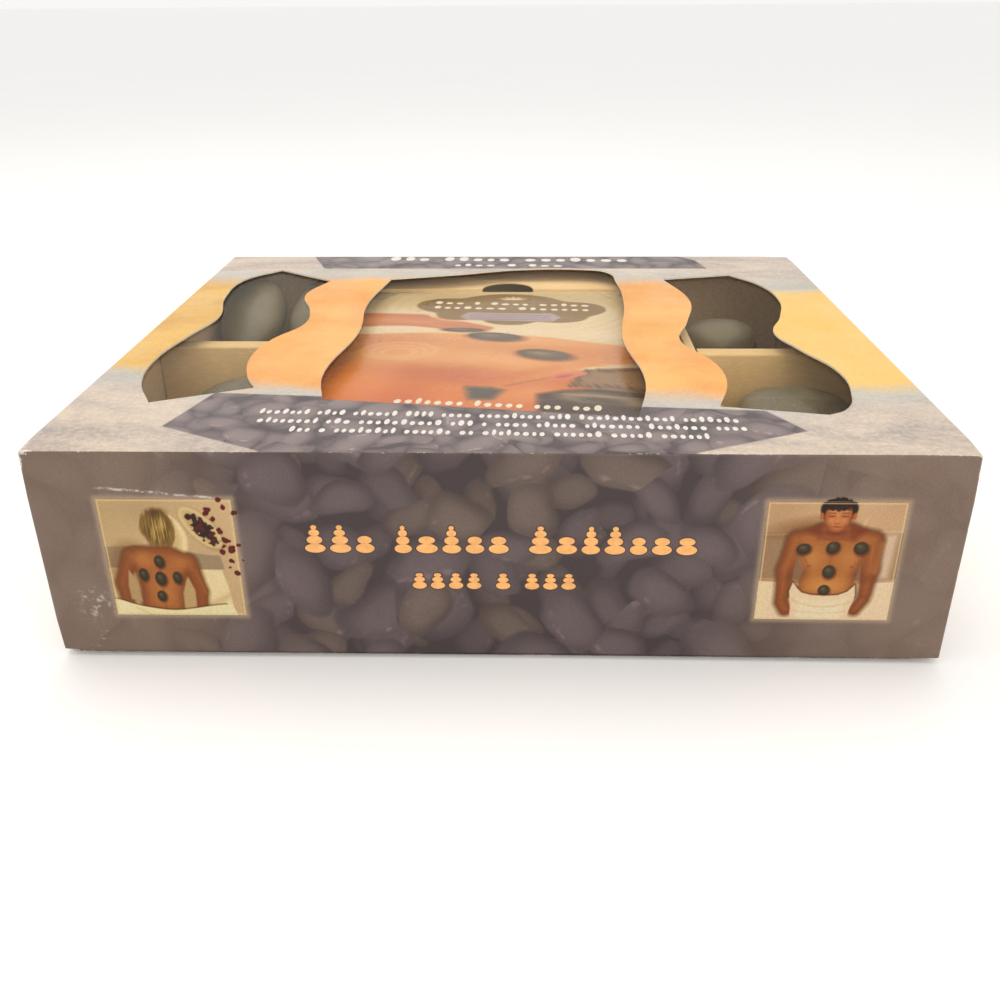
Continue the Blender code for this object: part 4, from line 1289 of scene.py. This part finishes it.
lay(picture, (194, 134, 80), oval(x, y, 0.55, 0.46, 0.07, 0.06), 0.08, 0.7)
spine = np.abs(x - 0.385 - 0.01 * y) - 0.004 + np.maximum(np.abs(y - 0.3) - 0.25, 0)
lay(picture, (150, 80, 34), spine, 0.03, 0.5)
lay(picture, (140, 74, 32), limb(x, y, (0.215, 0.46, 0.004), (0.135, 0.30, 0.002)), 0.02, 0.6)
lay(picture, (140, 74, 32), limb(x, y, (0.585, 0.40, 0.004), (0.625, 0.27, 0.002)), 0.02, 0.6)
lay(picture, (206, 144, 88), limb(x, y, (0.66, 0.40, 0.004), (0.71, 0.2, 0.004)), 0.03, 0.5)
gap = patch(x, y, (0.148, 0.40), (0.19, 0.33), (0.212, 0.12), (0.13, 0.14), (0.125, 0.26))
lay(picture, (188, 164, 128), gap, 0.014)
gap = patch(x, y, (0.592, 0.34), (0.632, 0.22), (0.622, 0.06), (0.532, 0.06), (0.545, 0.2))
lay(picture, (196, 172, 132), gap, 0.014)
for centre, half_size in (
    ((0.393, 0.473), (0.038, 0.052)), ((0.258, 0.359), (0.034, 0.054)),
    ((0.383, 0.325), (0.042, 0.060)), ((0.511, 0.333), (0.034, 0.052)),
    ((0.368, 0.171), (0.035, 0.046)),
):
    lay_stone(picture, x, y, centre, half_size, 4, 0.80)
hair = melt(
    0.012, oval(x, y, 0.426, 0.765, 0.122, 0.145),
    patch(x, y, (0.315, 0.76), (0.54, 0.76), (0.50, 0.60), (0.35, 0.61)),
)
ends = hair + 0.03 * (drift_over(x * 3.2, y * 0.3, 0.03, 35) - 0.5)
lay(picture, (120, 78, 40), ends - 0.008, 0.02, 0.6)
lay(picture, (140, 116, 66), ends, 0.010)
spread = 0.55 + 0.6 * np.clip(0.92 - y, 0, 1)
strands = drift_over((x - 0.426) / spread, y * 0.12, 0.011, 36)
lay(picture, (104, 80, 38), ends + 0.006 + 0.10 * (1 - strands), 0.07, 0.7)
lay(picture, (216, 190, 124), ends + 0.012 + 0.13 * strands, 0.09, 0.8)
lay(picture, (86, 66, 36), oval(x, y, 0.43, 0.89, 0.06, 0.03), 0.05, 0.6)
fold = y - 0.10 + 0.055 * np.exp(-(((x - 0.45) / 0.26) ** 2)) - 0.045 * np.exp(-((x / 0.12) ** 2))
fold -= 0.02 * np.clip(x - 0.7, 0, 1)
lay(picture, (70, 42, 22), fold - 0.008 + np.maximum(x - 0.86, 0) * 3, 0.02, 0.8)
lay(picture, (244, 232, 198), fold + np.maximum(x - 0.90, 0) * 3, 0.010)
lay(picture, (240, 228, 188), np.abs(fold + 0.03) - 0.008 + np.maximum(x - 0.88, 0), 0.03, 0.7)
lay(picture, (190, 168, 120), limb(x, y, (0.16, 0.06, 0.004), (0.30, -0.02, 0.006)), 0.03, 0.6)
# Each petal's middle and size.
PETALS = (
    (0.815, 0.915, 0.030), (0.80, 0.885, 0.022), (0.845, 0.835, 0.022), (0.885, 0.735, 0.028),
    (0.915, 0.66, 0.028), (0.945, 0.65, 0.016), (0.90, 0.607, 0.014), (0.955, 0.585, 0.034),
    (0.885, 0.56, 0.022), (0.94, 0.483, 0.022), (0.925, 0.43, 0.009), (0.973, 0.378, 0.022),
    (0.935, 0.935, 0.022), (0.905, 1.0, 0.024), (1.01, 0.89, 0.022), (1.01, 0.62, 0.020),
    (1.03, 0.49, 0.010),
)
scattered = np.ones(x.shape)
for n, (px, py, size) in enumerate(PETALS):
    petal = oval(x, y, px, py, size, size * (0.72 + 0.1 * (n % 3)), 37 * n)
    petal += 0.012 * (drift_over(x, y, 0.018, 50 + n) - 0.5)
    scattered = np.minimum(scattered, petal)
shown = framed(picture, outside, scattered)
lay(picture, (92, 22, 18), scattered, 0.008)
lay(picture, (142, 44, 34), scattered + 0.012, 0.014, 0.7)
picture += (picture - 0.56) * 0.25
picture += (np.random.default_rng(41).random(x.shape)[..., None] - 0.5) * 0.02
left_picture = painted_sheet(
    "front_picture_left",
    (LEFT_PICTURE_AT[0] - GLOW, ON_FRONT, LEFT_PICTURE_AT[1] - GLOW),
    (PICTURE_SIZE + 2 * GLOW, 0.0, 0.0),
    (0.0, 0.0, PICTURE_SIZE + 2 * GLOW),
    picture,
    shown,
)

x, y, outside, picture = blank_picture()
picture[:] = np.array((204, 176, 148)) / 255.0
picture += ((drift_over(x, y, 0.3, 61) - 0.5) * 0.07)[..., None]
lay(
    picture, (168, 142, 116),
    patch(x, y, (-0.2, 0.74), (0.35, 0.755), (0.6, 0.74), (1.2, 0.77), (1.2, 0.34), (-0.2, 0.36)), 0.02,
)
lay(picture, (226, 200, 168), np.abs(y - 0.745 - 0.03 * (x - 0.5)) - 0.004, 0.012, 0.8)
lay(
    picture, (226, 208, 194), patch(x, y, (0.87, 0.74), (0.97, 0.75), (0.95, 0.36), (0.86, 0.36)), 0.06,
    0.8,
)
lay(
    picture, (232, 216, 196),
    patch(x, y, (-0.2, 0.345), (0.5, 0.31), (1.2, 0.37), (1.2, -0.2), (-0.2, -0.2)), 0.012,
)
edge = y - 0.345 + 0.05 * np.clip(x - 0.03, 0, 1) - 0.12 * np.clip(x - 0.6, 0, 1)
lay(picture, (120, 86, 56), np.abs(edge) - 0.003, 0.014, 0.6)
lay(
    picture, (240, 222, 192), patch(x, y, (0.0, 0.33), (0.06, 0.32), (0.08, 0.0), (0.0, 0.0)), 0.03, 0.6
)
lay(picture, (136, 100, 64), oval(x, y, 0.28, 0.80, 0.20, 0.05, 12), 0.10, 0.7)
lay(picture, (235, 214, 186), limb(x, y, (0.72, 0.86, 0.004), (0.70, 0.78, 0.006)), 0.02, 0.8)
left_arm = melt(
    0.012, limb(x, y, (0.235, 0.69, 0.066), (0.185, 0.44, 0.056)),
    limb(x, y, (0.185, 0.44, 0.056), (0.186, 0.20, 0.044)),
    limb(x, y, (0.188, 0.15, 0.045), (0.225, 0.085, 0.045)),
)
right_arm = melt(
    0.012, limb(x, y, (0.795, 0.69, 0.068), (0.805, 0.44, 0.058)),
    limb(x, y, (0.805, 0.44, 0.058), (0.80, 0.24, 0.044)),
    limb(x, y, (0.79, 0.18, 0.042), (0.74, 0.085, 0.038)),
)
torso = patch(
    x, y, (0.404, 0.822), (0.33, 0.785), (0.235, 0.755), (0.19, 0.70), (0.27, 0.58), (0.325, 0.44),
    (0.30, 0.34), (0.30, 0.20), (0.69, 0.20), (0.70, 0.35), (0.715, 0.45), (0.765, 0.56), (0.86, 0.68),
    (0.815, 0.755), (0.70, 0.79), (0.616, 0.83),
)
body = melt(0.010, torso, left_arm, right_arm)
lay(picture, (92, 60, 38), body - 0.014, 0.040, 0.7)
lay(picture, (146, 90, 50), body, 0.010)
lay(picture, (182, 124, 72), body + 0.04, 0.06, 0.9)
lay(picture, (206, 152, 94), oval(x, y, 0.36, 0.53, 0.09, 0.09), 0.12, 0.7)
lay(picture, (204, 148, 92), oval(x, y, 0.64, 0.53, 0.09, 0.09), 0.12, 0.6)
lay(picture, (216, 160, 96), oval(x, y, 0.50, 0.30, 0.16, 0.08), 0.12, 0.8)
lay(picture, (210, 152, 96), limb(x, y, (0.86, 0.66, 0.01), (0.85, 0.42, 0.01)), 0.05, 0.6)
lay(picture, (140, 82, 44), oval(x, y, 0.80, 0.36, 0.05, 0.04), 0.05, 0.5)
lay(picture, (140, 82, 44), oval(x, y, 0.215, 0.38, 0.03, 0.05), 0.05, 0.5)
lay(
    picture, (128, 66, 34), patch(x, y, (0.40, 0.82), (0.30, 0.775), (0.40, 0.70), (0.46, 0.70)), 0.05,
    0.7,
)
lay(
    picture, (128, 66, 34), patch(x, y, (0.62, 0.82), (0.74, 0.775), (0.66, 0.68), (0.58, 0.70)), 0.05,
    0.7,
)
lay(
    picture, (150, 88, 46), np.abs(x - 0.505) - 0.003 + np.maximum(np.abs(y - 0.50) - 0.08, 0), 0.03,
    0.4,
)
lay(picture, (146, 86, 46), limb(x, y, (0.275, 0.60, 0.003), (0.34, 0.49, 0.003)), 0.02, 0.6)
lay(picture, (146, 86, 46), limb(x, y, (0.755, 0.59, 0.003), (0.705, 0.48, 0.003)), 0.02, 0.6)
lay(picture, (148, 86, 48), oval(x, y, 0.352, 0.468, 0.016, 0.010), 0.01, 0.6)
lay(picture, (148, 86, 48), oval(x, y, 0.668, 0.462, 0.014, 0.009), 0.01, 0.6)
lay(
    picture, (150, 120, 96),
    patch(x, y, (0.262, 0.52), (0.318, 0.44), (0.292, 0.34), (0.248, 0.35), (0.245, 0.44)), 0.012,
)
lay(
    picture, (150, 120, 96), patch(x, y, (0.735, 0.49), (0.742, 0.36), (0.712, 0.35), (0.722, 0.44)),
    0.012,
)
for knuckle in range(4):
    left, right = 0.205 + 0.018 * knuckle, 0.713 + 0.016 * knuckle
    crease = limb(x, y, (left, 0.055, 0.002), (0.203 + 0.02 * knuckle, 0.080, 0.002))
    lay(picture, (120, 62, 32), crease, 0.008, 0.5)
    lay(
        picture, (120, 62, 32), limb(x, y, (right, 0.058, 0.002), (right + 0.009, 0.082, 0.002)), 0.008,
        0.5,
    )
for centre, half_size, turn in (
    ((0.297, 0.614), (0.052, 0.044), 14), ((0.509, 0.627), (0.047, 0.053), -30),
    ((0.713, 0.623), (0.052, 0.052), -20), ((0.505, 0.422), (0.046, 0.055), 0),
    ((0.489, 0.262), (0.042, 0.045), 0),
):
    lay_stone(picture, x, y, centre, half_size, turn, 0.86)
towel = patch(
    x, y, (0.255, 0.33), (0.29, 0.28), (0.33, 0.24), (0.40, 0.220), (0.50, 0.213), (0.60, 0.220),
    (0.665, 0.25), (0.715, 0.31), (0.73, 0.22), (0.70, 0.08), (0.675, -0.2), (0.27, -0.2), (0.26, 0.1),
    (0.235, 0.25),
)
lay(picture, (70, 44, 24), np.maximum(towel - 0.008, 0.195 - y), 0.016, 0.8)
lay(picture, (232, 214, 192), towel, 0.008)
lay(picture, (246, 232, 212), towel + 0.05, 0.06, 0.8)
fold = np.abs(np.hypot((x - 0.5) * 0.7, y - 0.36) - 0.245) - 0.004
lay(picture, (204, 172, 136), np.maximum(fold, towel + 0.02), 0.02, 0.6)
fold = np.abs(np.hypot((x - 0.5) * 0.6, y - 0.42) - 0.36) - 0.003
lay(picture, (206, 176, 142), np.maximum(fold, towel + 0.02), 0.02, 0.5)
# The head is drawn from a plain scheme: eyes at half its height, nose and mouth in thirds below.
neck = melt(
    0.01, patch(x, y, (0.44, 0.78), (0.595, 0.78), (0.62, 0.71), (0.51, 0.675), (0.41, 0.71)),
    oval(x, y, 0.512, 0.73, 0.08, 0.04),
)
lay(picture, (158, 98, 58), neck, 0.02)
lay(picture, (120, 62, 34), oval(x, y, 0.512, 0.752, 0.07, 0.022), 0.03, 0.7)
lay(
    picture, (52, 34, 24),
    melt(0.01, oval(x, y, 0.512, 0.955, 0.128, 0.085), oval(x, y, 0.512, 0.92, 0.122, 0.10)), 0.012,
)
lay(
    picture, (186, 116, 70),
    melt(0.004, oval(x, y, 0.394, 0.885, 0.014, 0.030), oval(x, y, 0.630, 0.885, 0.014, 0.030)), 0.008,
)
face = melt(0.015, oval(x, y, 0.512, 0.892, 0.104, 0.095), oval(x, y, 0.512, 0.815, 0.076, 0.066))
lay(picture, (150, 88, 50), face, 0.010)
lay(picture, (204, 140, 92), face + 0.02, 0.04)
lay(picture, (220, 160, 112), oval(x, y, 0.512, 0.935, 0.06, 0.025), 0.05, 0.7)
for side in (-1, 1):
    lay(picture, (214, 152, 106), oval(x, y, 0.512 + side * 0.052, 0.842, 0.026, 0.020), 0.03, 0.6)
    lay(picture, (170, 104, 64), oval(x, y, 0.512 + side * 0.047, 0.886, 0.027, 0.013), 0.014, 0.6)
    lid_line = np.abs(np.hypot((x - 0.512 - side * 0.047) * 0.8, y - 0.902) - 0.021) - 0.0016
    lay(picture, (70, 38, 24), lid_line + np.maximum(y - 0.890, 0) * 3, 0.006, 0.9)
    brow = limb(x, y, (0.512 + side * 0.022, 0.910, 0.003), (0.512 + side * 0.074, 0.912, 0.0022))
    lay(picture, (66, 42, 28), brow, 0.007, 0.8)
lay(picture, (216, 154, 106), limb(x, y, (0.512, 0.895, 0.005), (0.512, 0.838, 0.009)), 0.010, 0.7)
lay(picture, (150, 84, 50), oval(x, y, 0.512, 0.825, 0.019, 0.005), 0.010, 0.7)
lay(picture, (178, 92, 66), oval(x, y, 0.512, 0.798, 0.030, 0.008), 0.008, 0.8)
lay(picture, (112, 52, 36), oval(x, y, 0.512, 0.799, 0.030, 0.0016), 0.005, 0.8)
above = oval(x, y, 0.512, 0.985, 0.108, 0.055) + 0.02 * (drift_over(x, y, 0.02, 63) - 0.5)
lay(picture, (60, 40, 28), above, 0.012)
lay(
    picture, (44, 30, 22), patch(x, y, (0.395, 1.02), (0.41, 0.90), (0.425, 0.95), (0.44, 1.02)), 0.015,
    0.9,
)
lay(
    picture, (44, 30, 22), patch(x, y, (0.632, 1.02), (0.615, 0.90), (0.60, 0.95), (0.585, 1.02)),
    0.015, 0.9,
)
hair_out = np.maximum(above, -outside) + 0.004
shown = framed(picture, outside, hair_out)
lay(picture, (58, 38, 28), hair_out, 0.012)
picture += (picture - 0.56) * 0.25
picture += (np.random.default_rng(42).random(x.shape)[..., None] - 0.5) * 0.02
right_picture = painted_sheet(
    "front_picture_right",
    (RIGHT_PICTURE_AT[0] - GLOW, ON_FRONT, RIGHT_PICTURE_AT[1] - GLOW),
    (PICTURE_SIZE + 2 * GLOW, 0.0, 0.0),
    (0.0, 0.0, PICTURE_SIZE + 2 * GLOW),
    picture,
    shown,
)
front_picture_ink = picture_ink("front_picture_ink", 0.36, (0.60, 0.54, 0.44), see_through=True)
for sheet in (left_picture, right_picture):
    bow(sheet)
    sheet.data.materials.append(front_picture_ink)
    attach(sheet, "lid")

# ---- Title marks on the lid ---------------------------------------------------------------------
# Where a title would be printed, the front has two rows of orange stacks of pebbles, each with a
# dark edge, and the top has rows of small pale marks, three in front and two behind.
TITLE_FROM = -0.0630
TITLE_LENGTH = 0.129
TITLE_LOW = 0.0425
TITLE_HEIGHT = 0.0068
SUBTITLE_FROM = -0.0280
SUBTITLE_LOW = 0.0287
SUBTITLE_HEIGHT = 0.0060
STACK_GAP = 0.0013
WORD_GAP = 0.0046
SUBTITLE_WORD_GAP = 0.0036


def upright(marks, out):
    """Marks of a flat row, (across, up, level), stood up on the front wall, out in front of it."""
    level = -LID_HIGH.y + INK - out
    return [((place[0], level, place[1]), width, height, turn) for place, width, height, turn in marks]


def cairn(middle, low, wide, heights):
    """A little stack of flattened pebbles, each narrower than the one below."""
    marks, level = [], low
    for n, height in enumerate(heights):
        marks.append(((middle, level + height / 2, 0.0), wide * (1.0 - 0.24 * n), height * 1.06, 0.0))
        level += height
    return marks


cairns, at = [], TITLE_FROM
rng = np.random.default_rng(7)
for stacks in (3, 5, 7):
    for n in range(stacks):
        wide = TITLE_HEIGHT * rng.uniform(0.74, 0.98)
        tall = rng.random() < 0.3 or n == 0
        heights = (0.0032, 0.0030, 0.0024, 0.0016) if tall else (0.0034, 0.0028)
        cairns += cairn(at + wide / 2, TITLE_LOW, wide, heights)
        at += wide + STACK_GAP
    at += WORD_GAP
squeeze = TITLE_LENGTH / (at - WORD_GAP - STACK_GAP - TITLE_FROM)
cairns = [
    ((TITLE_FROM + (place[0] - TITLE_FROM) * squeeze, place[1], 0.0), wide * squeeze, tall, turn)
    for place, wide, tall, turn in cairns
]
at = SUBTITLE_FROM
for stacks in (4, 1, 3):
    for n in range(stacks):
        wide = SUBTITLE_HEIGHT * 0.80
        cairns += cairn(at + wide / 2, SUBTITLE_LOW, wide, (0.0026, 0.0020, 0.0014))
        at += wide + STACK_GAP
    at += SUBTITLE_WORD_GAP

orange_ink = mark_ink("orange_ink", (0.86, 0.42, 0.13))
dark_ink = mark_ink("dark_outline_ink", (0.055, 0.030, 0.026))
white_ink = mark_ink("white_ink", (0.74, 0.70, 0.64))
rows = [
    row_of_marks("title_cairn_outlines", upright(cairns, 0.00002), upright_turn, dark_ink, grow=0.0008),
    row_of_marks("title_cairns", upright(cairns, 0.00004), upright_turn, orange_ink),
]
top_marks = []
for seed, start, end, height, words in (
    (71, (-0.0823, -0.0995), (0.0811, -0.1065), 0.0056, (7, 4, 6, 4, 4, 8, 3, 12, 7)),
    (72, (-0.0814, -0.1075), (0.0826, -0.1135), 0.0056, (8, 3, 10, 3, 1, 4, 5, 7, 7, 4)),
    (73, (-0.0688, -0.1155), (0.0692, -0.1205), 0.0056, (3, 1, 8, 6, 2, 8, 6, 5, 6)),
    (74, (-0.0649, 0.1255), (0.0640, 0.1225), 0.0105, (3, 5, 7)),
    (75, (-0.0288, 0.1120), (0.0287, 0.1105), 0.0064, (4, 1, 3)),
):
    top_marks += word_row(start, end, height, LID_HIGH.z - 0.00002, seed, words)
rows.append(row_of_marks("top_marks", top_marks, flat_turn, white_ink))
for row in rows:
    bow(row)
    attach(row, "lid")
